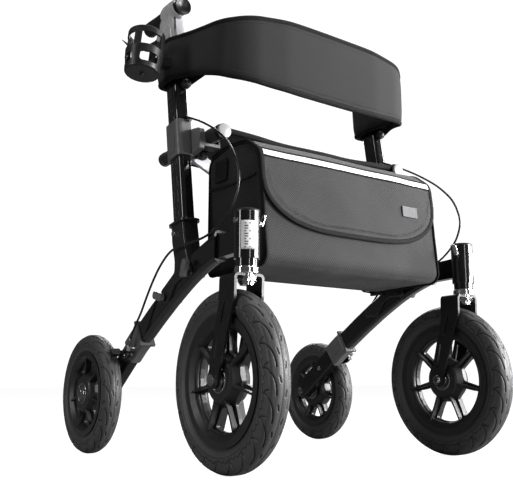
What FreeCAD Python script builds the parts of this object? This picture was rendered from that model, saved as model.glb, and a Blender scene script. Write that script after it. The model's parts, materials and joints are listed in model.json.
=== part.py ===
import FreeCAD, Part
import math
import os

# Rollator walker: two side frames joined by a folding cross brace, with castor forks in front, braked wheels
# behind, a sling seat, a bag below it, a back band and a cup holder.
# Millimetres. +Z is up, the walker travels towards -Y, X = 0 is its middle plane, Z = 0 is the floor and
# Y = 0 is the line of the two front axles.

Vector = FreeCAD.Vector
Placement = FreeCAD.Placement
Rotation = FreeCAD.Rotation

SIDES = {"left": -1, "right": 1}

DIMENSIONS = {
    "frame_half": 274,
    "front_tyre_radius": 152.5,
    "front_tyre_half": 24,
    "front_rim_radius": 107,
    "rear_tyre_radius": 124,
    "rear_tyre_half": 21,
    "rear_rim_radius": 84,
    "rear_track_half": 315,
    "rear_axle_y": 478,
    "axle_radius": 6,
    "running_gap": 0.05,
    "bearing_radius": 22,
    "bearing_width": 10,
    "hub_half": 20,
    "steer_y": -52,
    "head_radius": 22,
    "head_bore": 17,
    "head_bottom": 350,
    "head_top": 431,
    "crown_top": 326,
    "fork_plate": 5,
    "fork_half": 30,
    "leg_half_depth": 24,
    "rear_half_depth": 21.5,
    "leg_bend": 450,
    "leg_width": 24,
    "leg_wall": 2.5,
    "post_lean": 8.8,
    "post_foot_y": 162,
    "post_foot_z": 450,
    "post_width": 28,
    "post_depth": 44,
    "post_wall": 3,
    "rail_half": 234,
    "rail_radius": 14,
    "rail_z": 620,
    "rail_front": 85,
    "rail_length": 240,
    "pin_radius": 5,
    "pivot_low_z": 365,
    "pivot_high_z": 593,
    "arm_depth": 24,
    "arm_thickness": 10,
    "arm_a_y": 171,
    "arm_b_y": 186,
    "cable_radius": 2.2,
    "brake_pivot_y": 354,
    "brake_pivot_z": 200,
    "cup_radius": 33,
    "cup_height": 88,
    "bag_half": 222,
    "bag_wall": 3,
    "seat_half": 213,
    "seat_front": 92,
    "seat_back": 318,
    "seat_low_z": 619,
    "seat_thickness": 13,
    "lever_pivot_y": 271,
    "lever_pivot_z": 872,
}

doc = FreeCAD.newDocument("rollator")
sheet = doc.addObject("Spreadsheet::Sheet", "dims")
for row, (alias, value) in enumerate(DIMENSIONS.items(), start=1):
    sheet.set(f"A{row}", alias)
    sheet.set(f"B{row}", str(value))
    sheet.setAlias(f"B{row}", alias)
doc.recompute()


def size(alias):
    """A driving dimension's value, in millimetres or degrees."""
    return float(sheet.get(alias))


def bind(feature, **sizes):
    """Binds properties of a feature to expressions over the sheet; a number stands for itself."""
    for name, expression in sizes.items():
        feature.setExpression(name, str(expression))


# ---- outlines --------------------------------------------------------------------------------------------


def rounded(corners):
    """A closed outline's lines and arcs from (a, b) or (a, b, radius) corners."""
    points = [Vector(c[0], c[1], 0) for c in corners]
    radii = [c[2] if len(c) > 2 else 0 for c in corners]
    count = len(points)
    starts = []
    ends = []
    middles = []
    for i in range(count):
        before = (points[i - 1] - points[i]).normalize()
        after = (points[(i + 1) % count] - points[i]).normalize()
        half = before.getAngle(after) / 2
        reach = radii[i] / math.tan(half) if radii[i] else 0
        bisector = before + after
        starts.append(points[i] + before * reach)
        ends.append(points[i] + after * reach)
        if radii[i]:
            centre = points[i] + bisector.normalize() * (radii[i] / math.sin(half))
            middles.append(centre + (points[i] - centre).normalize() * radii[i])
        else:
            middles.append(None)
    edges = []
    for i in range(count):
        if middles[i]:
            edges.append(Part.Arc(starts[i], middles[i], ends[i]))
        nxt = (i + 1) % count
        if (starts[nxt] - ends[i]).Length > 1e-6:
            edges.append(Part.LineSegment(ends[i], starts[nxt]))
    return edges


def rectangle(width, depth, radius, shift=0):
    """A rounded rectangle about the origin, moved along its second axis by shift."""
    a = width / 2
    b = depth / 2
    return [(-a, shift - b, radius), (a, shift - b, radius), (a, shift + b, radius), (-a, shift + b, radius)]


def strip(centres, half):
    """The corners of a bent strip of half depth either side of a line of (y, z) points, with mitred bends."""
    line = [Vector(y, z, 0) for y, z in centres]
    upper = []
    lower = []
    for i, point in enumerate(line):
        along = []
        if i:
            along.append((point - line[i - 1]).normalize())
        if i < len(line) - 1:
            along.append((line[i + 1] - point).normalize())
        normals = [Vector(-d.y, d.x, 0) for d in along]
        mitre = normals[0] + normals[-1]
        mitre.normalize()
        reach = half / mitre.dot(normals[0])
        upper.append(point + mitre * reach)
        lower.append(point - mitre * reach)
    corners = upper + lower[::-1]
    return [(c.x, c.y) for c in corners]


# ---- features --------------------------------------------------------------------------------------------


def origin_part(body, role):
    """One of a body's own origin planes or axes."""
    for feature in body.Origin.OriginFeatures:
        if feature.Role == role:
            return feature
    raise ValueError(role)


def sketch_in(body, name, role, offset, loops):
    """A sketch on an origin plane of its body, moved along the plane's normal by the expression offset."""
    sketch = body.newObject("Sketcher::SketchObject", name)
    sketch.AttachmentSupport = [(origin_part(body, role), "")]
    sketch.MapMode = "FlatFace"
    sketch.setExpression("AttachmentOffset.Base.z", str(offset))
    for loop in loops:
        sketch.addGeometry(loop, False)
    return sketch


def new_body(name):
    """An empty PartDesign body."""
    return doc.addObject("PartDesign::Body", name)


def prism(name, role, corners, offset, length, holes=()):
    """A body padded from one outline, with open holes given as further outlines or circles."""
    body = new_body(name)
    loops = [rounded(corners)]
    loops += list(holes)
    sketch = sketch_in(body, name + "_outline", role, offset, loops)
    pad = body.newObject("PartDesign::Pad", name + "_pad")
    pad.Profile = sketch
    bind(pad, Length=length)
    sketch.Visibility = False
    return body


def circle(a, b, radius):
    """A round hole of a sketch."""
    return [Part.Circle(Vector(a, b, 0), Vector(0, 0, 1), radius)]


def lathe(name, corners):
    """A body turned about the X axis from (x, radius) corners."""
    body = new_body(name)
    sketch = sketch_in(body, name + "_profile", "XZ_Plane", 0, [rounded(corners)])
    turn = body.newObject("PartDesign::Revolution", name + "_turn")
    turn.Profile = sketch
    turn.ReferenceAxis = (sketch, ["H_Axis"])
    turn.Angle = 360
    return body


def towards(start, end):
    """The placement that carries the Z axis onto the line from start to end."""
    return Placement(Vector(*start), Rotation(Vector(0, 0, 1), Vector(*end) - Vector(*start)))


def rod(name, start, end, radius):
    """A round bar between two points."""
    bar = doc.addObject("Part::Cylinder", name)
    bind(bar, Radius=radius, Height=(Vector(*end) - Vector(*start)).Length)
    bar.Placement = towards(start, end)
    return bar


def hexagon(name, start, end, across):
    """A hexagonal bar between two points, with its size across corners as a radius."""
    bar = doc.addObject("Part::Prism", name)
    bar.Polygon = 6
    bind(bar, Circumradius=across, Height=(Vector(*end) - Vector(*start)).Length)
    bar.Placement = towards(start, end)
    return bar


def block(name, low, high):
    """A box between two corners."""
    box = doc.addObject("Part::Box", name)
    bind(box, Length=high[0] - low[0], Width=high[1] - low[1], Height=high[2] - low[2])
    box.Placement = Placement(Vector(*low), Rotation())
    return box


def ball(name, centre, radius):
    """A sphere."""
    sphere = doc.addObject("Part::Sphere", name)
    bind(sphere, Radius=radius)
    sphere.Placement = Placement(Vector(*centre), Rotation())
    return sphere


def cut(name, base, *tools):
    """base less every tool."""
    for number, tool in enumerate(tools):
        last = number == len(tools) - 1
        result = doc.addObject("Part::Cut", name if last else f"{name}_cut{number}")
        result.Base = base
        result.Tool = tool
        base = result
    return base


def fuse(name, *pieces):
    """One solid of several pieces."""
    result = doc.addObject("Part::MultiFuse", name)
    result.Shapes = list(pieces)
    result.Refine = True
    return result


def common(name, first, second):
    """What two solids share."""
    result = doc.addObject("Part::Common", name)
    result.Base = first
    result.Tool = second
    return result


def together(name, *pieces):
    """Separate solids kept in one sub-part."""
    result = doc.addObject("Part::Compound", name)
    result.Links = list(pieces)
    return result


def span(side, low, high):
    """Two distances out from the middle plane, as an ordered X range on one side."""
    a, b = sorted((SIDES[side] * low, SIDES[side] * high))
    return a, b


subparts = {}


def keep(node, feature):
    """Records a finished sub-part under its node name."""
    feature.Label = node
    subparts[node] = feature
    return feature


# ---- wheels ----------------------------------------------------------------------------------------------

SPOKES = 7


def wheel(prefix, side, centre, tyre_radius, tyre_half, rim_radius):
    """A pneumatic tyre, a moulded rim with seven deep vanes and two ball bearings on one axle line."""
    hub = size("hub_half")
    seat = size("bearing_radius")
    deep = size("bearing_width")
    place = Placement(Vector(*centre), Rotation())
    bead = tyre_half * 0.68
    flange = rim_radius + 4

    tyre = lathe(
        f"{prefix}_tyre_{side}",
        [
            (-bead, rim_radius + 0.2),
            (bead, rim_radius + 0.2),
            (bead + 0.5, flange + 2, 3),
            (tyre_half, rim_radius + 0.42 * (tyre_radius - rim_radius), 9),
            (tyre_half * 0.86, tyre_radius - 6, 10),
            (tyre_half * 0.34, tyre_radius, 14),
            (-tyre_half * 0.34, tyre_radius, 14),
            (-tyre_half * 0.86, tyre_radius - 6, 10),
            (-tyre_half, rim_radius + 0.42 * (tyre_radius - rim_radius), 9),
            (-bead - 0.5, flange + 2, 3),
        ],
    )
    tyre.Placement = place
    keep(f"{prefix}_tyre_{side}", tyre)

    # the rim's inner face drops from each flange to a well between them
    barrel = 0.925 * rim_radius
    well = 0.81 * rim_radius
    boss = seat + 16
    rim = lathe(
        f"{prefix}_rim_{side}",
        [
            (-bead - 3, flange),
            (-bead - 0.4, flange),
            (-bead - 0.4, rim_radius),
            (4 - bead, rim_radius),
            (8 - bead, well + 4, 3),
            (bead - 8, well + 4, 3),
            (bead - 4, rim_radius),
            (bead + 0.4, rim_radius),
            (bead + 0.4, flange),
            (bead + 3, flange),
            (bead + 3, barrel),
            (bead - 5, well, 8),
            (3.5, well, 3),
            (2.5, boss + 8, 8),
            (hub - 3, boss, 3),
            (hub, boss - 3),
            (hub, seat),
            (hub - deep, seat),
            (hub - deep, seat - 8),
            (deep - hub, seat - 8),
            (deep - hub, seat),
            (-hub, seat),
            (-hub, boss - 3),
            (3 - hub, boss, 3),
            (-2.5, boss + 8, 8),
            (-3.5, well, 3),
            (5 - bead, well, 8),
            (-bead - 3, barrel),
        ],
    )
    rim.Placement = place
    turn = rim.Tip

    # a window between each two vanes: narrow at the hub, following the well at its outer end
    middle = math.radians(90 - 180 / SPOKES)
    low = boss + 0.14 * (well - boss)
    high = well - 2
    wide = high * math.tan(math.pi / SPOKES) - 8
    waist = high - 0.45 * (high - low)
    arch = []
    for along, across, radius in (
        (low, -0.42 * wide, 6),
        (waist, -0.78 * wide, 0),
        (math.sqrt(high**2 - wide**2), -wide, 4),
        (math.sqrt(high**2 - (0.5 * wide) ** 2), -0.5 * wide, 0),
        (high, 0, 0),
        (math.sqrt(high**2 - (0.5 * wide) ** 2), 0.5 * wide, 0),
        (math.sqrt(high**2 - wide**2), wide, 4),
        (waist, 0.78 * wide, 0),
        (low, 0.42 * wide, 6),
    ):
        y = along * math.cos(middle) - across * math.sin(middle)
        z = along * math.sin(middle) + across * math.cos(middle)
        arch.append((y, z, radius))
    opening = sketch_in(rim, f"{prefix}_window_{side}", "YZ_Plane", "dims.hub_half + 5", [rounded(arch)])
    window = rim.newObject("PartDesign::Pocket", f"{prefix}_window_cut_{side}")
    window.Profile = opening
    bind(window, Length="2 * dims.hub_half + 10")
    windows = rim.newObject("PartDesign::PolarPattern", f"{prefix}_windows_{side}")
    windows.Originals = [window]
    windows.Axis = (origin_part(rim, "X_Axis"), [""])
    windows.Angle = 360
    windows.Occurrences = SPOKES
    rim.Tip = windows

    # radial vanes nearly as deep as the rim, a little scooped on both faces
    scoop = 0.5 * (boss + well)
    blade = [
        (2 - hub, boss - 4),
        (hub - 2, boss - 4),
        (hub * 0.78, scoop, 60),
        (bead + 1, barrel + 1),
        (bead - 5, well + 2),
        (5 - bead, well + 2),
        (-bead - 1, barrel + 1),
        (-hub * 0.78, scoop, 60),
    ]
    rib_sketch = sketch_in(rim, f"{prefix}_rib_{side}", "XZ_Plane", -2, [rounded(blade)])
    rib = rim.newObject("PartDesign::Pad", f"{prefix}_rib_pad_{side}")
    rib.Profile = rib_sketch
    rib.Length = 4
    ribs = rim.newObject("PartDesign::PolarPattern", f"{prefix}_ribs_{side}")
    ribs.Originals = [rib]
    ribs.Axis = (origin_part(rim, "X_Axis"), [""])
    ribs.Angle = 360
    ribs.Occurrences = SPOKES
    rim.Tip = ribs
    keep(f"{prefix}_rim_{side}", rim)

    rings = []
    for end, low_x in (("inner", -hub), ("outer", hub - deep)):
        ring = lathe(
            f"{prefix}_bearing_{end}_{side}",
            [
                (low_x, size("axle_radius") + size("running_gap")),
                (low_x + deep, size("axle_radius") + size("running_gap")),
                (low_x + deep, 10),
                (low_x + deep - 1, 10.5),
                (low_x + deep - 1, 18.5),
                (low_x + deep, 19),
                (low_x + deep, seat),
                (low_x, seat),
                (low_x, 19),
                (low_x + 1, 18.5),
                (low_x + 1, 10.5),
                (low_x, 10),
            ],
        )
        ring.Placement = place
        rings.append(ring)
    keep(f"{prefix}_bearings_{side}", together(f"{prefix}_bearings_{side}", *rings))


# ---- castor fork -----------------------------------------------------------------------------------------


def fork(side):
    """A bent flat-plate fork with raked arms, and its steerer, ring, nuts and axle bolt."""
    s = SIDES[side]
    x = s * size("frame_half")
    half = size("fork_half")
    plate = size("fork_plate")
    top = size("crown_top")
    y = size("steer_y")
    axle = size("front_tyre_radius")

    bent = [
        (x - half, axle - 16),
        (x - half, top, 9),
        (x + half, top, 9),
        (x + half, axle - 16),
        (x + half - plate, axle - 16),
        (x + half - plate, top - plate, 4),
        (x - half + plate, top - plate, 4),
        (x - half + plate, axle - 16),
    ]
    channel = prism(f"fork_channel_{side}", "XZ_Plane", bent, -16, 86)
    outline = [
        (-61, top),
        (-60, 286, 30),
        (-13, axle + 6, 10),
        (-13, axle - 14, 12.4),
        (13, axle - 14, 12.4),
        (13.5, axle + 30, 20),
        (-13, 276, 30),
        (-15, top),
    ]
    cheek = prism(f"fork_cheek_{side}", "YZ_Plane", outline, x - half - 1, 2 * half + 2)
    shell = common(f"fork_shell_{side}", channel, cheek)
    slots = []
    for name, low, high in (("upper", (-20, 244), (-32, 280)), ("lower", (2, 178), (-9, 226))):
        corners = [(y_at, z_at, 1.6) for y_at, z_at in strip([low, high], 1.7)]
        slots.append(prism(f"fork_slot_{name}_{side}", "YZ_Plane", corners, x - half - 1, 2 * half + 2))
    bore = rod(f"fork_bore_{side}", (x, y, top - 10), (x, y, top + 5), 12)
    beyond = half + 1
    hole_start = (x - beyond, 0, axle)
    hole_end = (x + beyond, 0, axle)
    axle_hole = rod(f"fork_axle_hole_{side}", hole_start, hole_end, "dims.axle_radius")
    keep(f"fork_{side}", cut(f"fork_{side}", shell, *slots, bore, axle_hole))

    # steerer, bearing ring and lock nut above and below the crown
    steerer = rod(f"steerer_{side}", (x, y, top - 20), (x, y, 424), 12)
    sleeve = rod(f"steerer_sleeve_{side}", (x, y, top), (x, y, 420), "dims.head_bore - dims.running_gap")
    ring = rod(f"crown_ring_{side}", (x, y, top), (x, y, top + 9), 21)
    nut = hexagon(f"crown_nut_{side}", (x, y, top - plate - 9), (x, y, top - plate), 17)
    washer = rod(f"crown_washer_{side}", (x, y, top - plate - 12), (x, y, top - plate - 9), 14)
    steering = fuse(f"steering_stem_{side}", steerer, sleeve, ring, nut, washer)

    # axle bolt with a domed head outside, a nut inside and a spacer each side of the hub
    outer = x + s * half
    inner = x - s * half
    shaft = rod(f"front_shaft_{side}", (inner - s * 9, 0, axle), (outer, 0, axle), "dims.axle_radius")
    head = rod(f"front_bolt_head_{side}", (outer, 0, axle), (outer + s * 6, 0, axle), 9.5)
    nut = hexagon(f"front_nut_{side}", (inner - s * 6, 0, axle), (inner, 0, axle), 10.5)
    hub = size("hub_half")
    pieces = [shaft, head, nut]
    for name, sign in (("in", -1), ("out", 1)):
        start = (x + sign * (hub + 0.3), 0, axle)
        end = (x + sign * (half - plate), 0, axle)
        pieces.append(rod(f"front_spacer_{name}_{side}", start, end, 8.5))
    axle_bolt = fuse(f"front_axle_{side}", *pieces)
    keep(f"fork_hardware_{side}", together(f"fork_hardware_{side}", steering, axle_bolt))


# ---- side frame ------------------------------------------------------------------------------------------

LEG_FRONT = 34
LEG_LINE = [(20, 387.2), (89, 366.5), (142, 343), (198, 314), (260, 278), (342, 227)]
REAR_LINE = [(342.6, 226.6), (494, 116.8)]
SLEEVE_LINE = [(316, 243.2), (342, 227), (368, 208.1)]


def post_place(side):
    """The leaning frame of a post: its own Z runs up the post from the flange at the bracket's top."""
    foot = Vector(SIDES[side] * size("frame_half"), size("post_foot_y"), size("post_foot_z"))
    return Placement(foot, Rotation(Vector(1, 0, 0), -size("post_lean")))


def grooved(width, depth, radius, notch):
    """A post's outline: a rounded rectangle with two shallow grooves down each broad face."""
    a = width / 2
    b = depth / 2
    right = []
    for centre in (-depth / 6, depth / 6):
        right += [(a, centre - 2.2), (a - notch, centre - 1.4), (a - notch, centre + 1.4), (a, centre + 2.2)]
    left = [(-p, -q) for p, q in right]
    return [(a, -b, radius)] + right + [(a, b, radius), (-a, b, radius)] + left + [(-a, -b, radius)]


def head_tube(side):
    """The steering head: a capped tube with a stepped lower collar and a flat stub welded to its back."""
    x = SIDES[side] * size("frame_half")
    y = size("steer_y")
    bottom = size("head_bottom")
    tube = rod(f"head_outer_{side}", (x, y, bottom), (x, y, size("head_top")), "dims.head_radius")
    collar = rod(f"head_collar_{side}", (x, y, bottom - 13), (x, y, bottom), "dims.head_radius - 3")
    stub_corners = [(y + 5, 364), (46, 360.5), (46, 399.5), (y + 5, 405)]
    stub = prism(f"head_stub_{side}", "YZ_Plane", stub_corners, x - 8.5, 17)
    solid = fuse(f"head_solid_{side}", tube, collar, stub)
    bore = rod(f"head_hollow_{side}", (x, y, bottom - 20), (x, y, 426), "dims.head_bore")
    keep(f"head_tube_{side}", cut(f"head_tube_{side}", solid, bore))


def leg_solid(name, side, line, half_depth, width, end_radius=0):
    """A bar of rounded section along a bent line in the plane of the side frame."""
    x = SIDES[side] * size("frame_half")
    corners = strip(line, half_depth)
    last = len(line)
    for bend in range(1, last - 1):
        for index in (bend, 2 * last - 1 - bend):
            corners[index] = corners[index] + (size("leg_bend"),)
    if end_radius:
        for index in (last - 1, last):
            corners[index] = corners[index] + (end_radius,)
    return prism(name, "YZ_Plane", corners, x - width / 2, width)


def soften(body, radius):
    """Rounds the long edges of a bar's two side faces."""
    body.recompute(True)
    shape = body.Shape
    lows = shape.BoundBox
    names = []
    for number, edge in enumerate(shape.Edges, start=1):
        box = edge.BoundBox
        flat = box.XLength < 0.01 and (abs(box.XMin - lows.XMin) < 0.01 or abs(box.XMax - lows.XMax) < 0.01)
        if flat:
            names.append(f"Edge{number}")
    base = body.Tip
    fillet = body.newObject("PartDesign::Fillet", body.Name + "_round")
    fillet.Base = (base, names)
    fillet.Radius = radius
    body.Tip = fillet
    return body


def legs(side):
    """The bent main leg, its end trim, the joint sleeve and the rear leg that carries the rear axle."""
    x = SIDES[side] * size("frame_half")
    deep = size("leg_half_depth")
    rear_deep = size("rear_half_depth")
    wide = size("leg_width")
    wall = size("leg_wall")
    long_round = 8
    rear_round = 5
    outer = soften(leg_solid(f"leg_outer_{side}", side, LEG_LINE, deep, wide), long_round)
    inner_line = [(8, 390.8)] + LEG_LINE[1:-1] + [(352, 220.8)]
    inner = leg_solid(f"leg_inner_{side}", side, inner_line, deep - wall, wide - 2 * wall)
    square_end = block(f"leg_square_end_{side}", (x - wide, 0, 330), (x + wide, LEG_FRONT, 430))
    keep(f"leg_tube_{side}", cut(f"leg_tube_{side}", outer, inner, square_end))

    # a black rounded collar closes the front end of the leg round the stub
    trim_hole = [rounded(rectangle(19, 46, 2))]
    ring = prism(f"leg_trim_{side}", "XZ_Plane", rectangle(28, 56, 10), 0, 5, trim_hole)
    ring.Placement = Placement(Vector(x, LEG_FRONT, 383.5), Rotation())
    keep(f"leg_trim_{side}", ring)

    rear_outer = leg_solid(f"rear_leg_outer_{side}", side, REAR_LINE, rear_deep, wide, 18)
    rear = soften(rear_outer, rear_round)
    axle = (size("rear_axle_y"), size("rear_tyre_radius"))
    hole = rod(f"rear_leg_hole_{side}", (x - 20, *axle), (x + 20, *axle), "dims.axle_radius")
    hollow_line = [(330, 235.7), (448, 150.2)]
    pocket = leg_solid(f"rear_leg_inner_{side}", side, hollow_line, rear_deep - wall, wide - 2 * wall)
    keep(f"rear_leg_{side}", cut(f"rear_leg_{side}", rear, pocket, hole))

    # the sleeve over the joint, with a raised lip at its front end and a raised panel on each face
    body = soften(leg_solid(f"sleeve_body_{side}", side, SLEEVE_LINE, deep + 3, wide + 6), long_round + 1)
    lip = leg_solid(f"sleeve_lip_{side}", side, [(312, 245.7), (317, 242.6)], deep + 5, wide + 9)
    panel = [(326, 222, 4), (350, 205, 4), (362, 214, 6), (350, 232, 6), (330, 241, 4)]
    half_wide = wide / 2 + 3
    badge_out = prism(f"sleeve_badge_out_{side}", "YZ_Plane", panel, x + half_wide - 1, 2)
    badge_in = prism(f"sleeve_badge_in_{side}", "YZ_Plane", panel, x - half_wide - 1, 2)
    solid = fuse(f"sleeve_solid_{side}", body, lip, badge_out, badge_in)
    keep(f"rear_sleeve_{side}", cut(f"rear_sleeve_{side}", solid, outer, rear))


def posts(side):
    """The post's saddle bracket, the grooved post and the rail holder clamped round it."""
    x = SIDES[side] * size("frame_half")
    wide = size("post_width")
    deep = size("post_depth")
    wall = size("post_wall")
    place = post_place(side)

    # saddle bracket: cheeks over the leg with a limb along it, a socket for the post and a flange at its top
    outline = [
        (138, 448, 3),
        (184, 448, 3),
        (180, 412, 20),
        (168, 372, 20),
        (168, 352, 10),
        (214, 325, 8),
        (233, 308, 8),
        (226, 296, 5),
        (192, 296, 10),
        (166, 328, 14),
        (146, 337, 14),
        (102, 337, 6),
        (126, 395, 25),
    ]
    saddle = soften(prism(f"saddle_body_{side}", "YZ_Plane", outline, x - 17, 34), 4)
    flange = prism(f"saddle_flange_{side}", "XY_Plane", rectangle(wide + 14, deep + 18, 12), -6, 5)
    flange.Placement = place
    solid = fuse(f"saddle_solid_{side}", saddle, flange)
    slot = leg_solid(f"saddle_slot_{side}", side, LEG_LINE, size("leg_half_depth"), size("leg_width"))
    over_leg = soften(slot, 8)
    socket = prism(f"saddle_socket_{side}", "XY_Plane", rectangle(wide, deep, 9), -62, 80)
    socket.Placement = place
    keep(f"post_bracket_{side}", cut(f"post_bracket_{side}", solid, over_leg, socket))

    cavity = rounded(rectangle(wide - 2 * wall, deep - 2 * wall, 6))
    post = prism(f"post_tube_{side}", "XY_Plane", grooved(wide, deep, 9, 1.2), -38, 404, [cavity])
    post.Placement = place
    keep(f"post_tube_{side}", post)

    # rail holder: a split housing on the post, with an open-topped cradle in front of it for the seat rail
    s = SIDES[side]
    low = size("rail_z")
    shell_hole = [rounded(rectangle(wide, deep, 9))]
    shell = rectangle(wide + 8, deep + 10, 11)
    housing = prism(f"holder_housing_{side}", "XY_Plane", shell, 131, 76, shell_hole)
    housing.Placement = place
    badge_outline = [(-12, 142, 10), (12, 142, 10), (12, 196, 10), (-12, 196, 10)]
    badge = prism(f"holder_badge_{side}", "YZ_Plane", badge_outline, s * (wide / 2 + 4) - 1, 2)
    badge.Placement = place
    cradle_front = 128
    cradle_back = 158
    floor_low = low - size("rail_radius") - 7
    web_low, web_high = span(side, 252.2, 263)
    web_outline = [(cradle_front, 592, 4), (170, 584), (172, 640), (cradle_front, 634, 8)]
    web = prism(f"holder_web_{side}", "YZ_Plane", web_outline, web_low, web_high - web_low)
    cradle = []
    walls = [("floor", 216, 254, 6.5), ("lip", 216, 219.6, 14), ("cheek", 248.4, 254, 26)]
    for name, near, far, tall in walls:
        start, end = span(side, near, far)
        low_corner = (start, cradle_front, floor_low)
        high_corner = (end, cradle_back, floor_low + tall)
        cradle.append(block(f"holder_{name}_{side}", low_corner, high_corner))
    clear_post = prism(f"holder_clear_{side}", "XY_Plane", rectangle(wide, deep, 9), 100, 140)
    clear_post.Placement = place
    holder = fuse(f"holder_solid_{side}", housing, badge, web, *cradle)
    keep(f"rail_holder_{side}", cut(f"rail_holder_{side}", holder, clear_post))


def pivot_bracket(side):
    """The clevis on the side frame that carries the lower pin of the cross brace."""
    s = SIDES[side]
    x = s * size("rail_half")
    z = size("pivot_low_z")
    back_low, back_high = sorted((s * 252, s * 256.9))
    back = block(f"pivot_back_{side}", (back_low, 164, z - 20), (back_high, 204, z + 20))
    ears = []
    for name, start in (("front", 164), ("rear", 200)):
        inner_x = x - s * 12
        outer_x = x + s * 20
        corners = [(inner_x, z - 12, 11), (outer_x, z - 14), (outer_x, z + 14), (inner_x, z + 12, 11)]
        ears.append(prism(f"pivot_ear_{name}_{side}", "XZ_Plane", corners, -(start + 4), 4))
    pin = rod(f"pivot_pin_{side}", (x, 161, z), (x, 207, z), "dims.pin_radius")
    heads = [
        rod(f"pivot_head_{side}", (x, 159, z), (x, 164, z), 8),
        hexagon(f"pivot_nut_{side}", (x, 204, z), (x, 209, z), 8.5),
    ]
    keep(f"pivot_bracket_{side}", fuse(f"pivot_bracket_{side}", back, *ears, pin, *heads))


def wing(name, side, y, z, angle):
    """A wing knob on the outer face of the saddle bracket, standing on its own screw boss."""
    s = SIDES[side]
    low = size("frame_half") + 17
    boss = rod(f"{name}_boss_{side}", (s * low, y, z), (s * (low + 4), y, z), 5)
    start, end = span(side, low + 4, low + 12)
    lobe = prism(f"{name}_lobe_{side}", "YZ_Plane", rectangle(15, 34, 7), start, end - start)
    lobe.Placement = Placement(Vector(0, y, z), Rotation(Vector(1, 0, 0), angle))
    return fuse(f"{name}_{side}", boss, lobe)


def fasteners(side, brake_pieces):
    """Bolts, the rear axle bolt, the snap button, the wing knobs and the cable's end barrel."""
    s = SIDES[side]
    x = s * size("frame_half")
    rear_z = size("rear_tyre_radius")
    rear_y = size("rear_axle_y")
    track = s * size("rear_track_half")
    hub = size("hub_half")
    leg_face = x + s * size("leg_width") / 2
    inner_face = x - s * size("leg_width") / 2
    end = track + s * (hub + 5)

    def on_axle(across):
        """A point of the rear axle line."""
        return across, rear_y, rear_z

    shaft = rod(f"rear_shaft_{side}", on_axle(inner_face), on_axle(end), "dims.axle_radius")
    head = hexagon(f"rear_head_{side}", on_axle(inner_face - s * 6), on_axle(inner_face), 10)
    spacer = rod(f"rear_spacer_{side}", on_axle(leg_face), on_axle(track - s * (hub + 0.3)), 9)
    nut = rod(f"rear_nut_{side}", on_axle(track + s * (hub + 0.3)), on_axle(end + s * 2), 9.5)
    axle = fuse(f"rear_axle_{side}", shaft, head, spacer, nut)
    pieces = [axle, *brake_pieces]
    edge = x + s * 17
    pieces.append(rod(f"bracket_bolt_{side}", (edge, 168, 426), (edge + s * 4, 168, 426), 5.5))
    tube = x + s * size("head_radius")
    steer = size("steer_y")
    bolt = rod(f"head_bolt_shank_{side}", (tube - s * 2, steer, 414), (tube + s * 3, steer, 414), 4.5)
    seat = rod(f"head_bolt_seat_{side}", (x, steer, 400), (x, steer, 430), "dims.head_radius")
    pieces.append(cut(f"head_bolt_{side}", bolt, seat))
    for name, face, out in (("outer", leg_face, 3), ("inner", inner_face, -3)):
        pieces.append(rod(f"snap_button_{name}_{side}", (face, 405, 180), (face + s * out, 405, 180), 5))
    keep(f"side_bolts_{side}", together(f"side_bolts_{side}", *pieces))
    knobs = [wing("front_wing", side, 113, 353, 20), wing("rear_wing", side, 212, 310, -75)]
    keep(f"wing_knobs_{side}", together(f"wing_knobs_{side}", *knobs))


def clamp_knob(side):
    """The round knob that locks the telescoping handle, on its screw in the front of the post."""
    level = 284
    face = -size("post_depth") / 2
    shift = -4 * SIDES[side]
    stem = rod(f"knob_stem_{side}", (shift, face - 0.4, level), (shift, face - 5, level), 5)
    head = rod(f"knob_head_{side}", (shift, face - 5, level), (shift, face - 15, level), 9.5)
    dome = ball(f"knob_dome_{side}", (shift, face - 11, level), 9.8)
    knob = fuse(f"clamp_knob_{side}", head, stem, dome)
    knob.Placement = post_place(side)
    keep(f"clamp_knob_{side}", knob)


# ---- handle ----------------------------------------------------------------------------------------------


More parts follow.
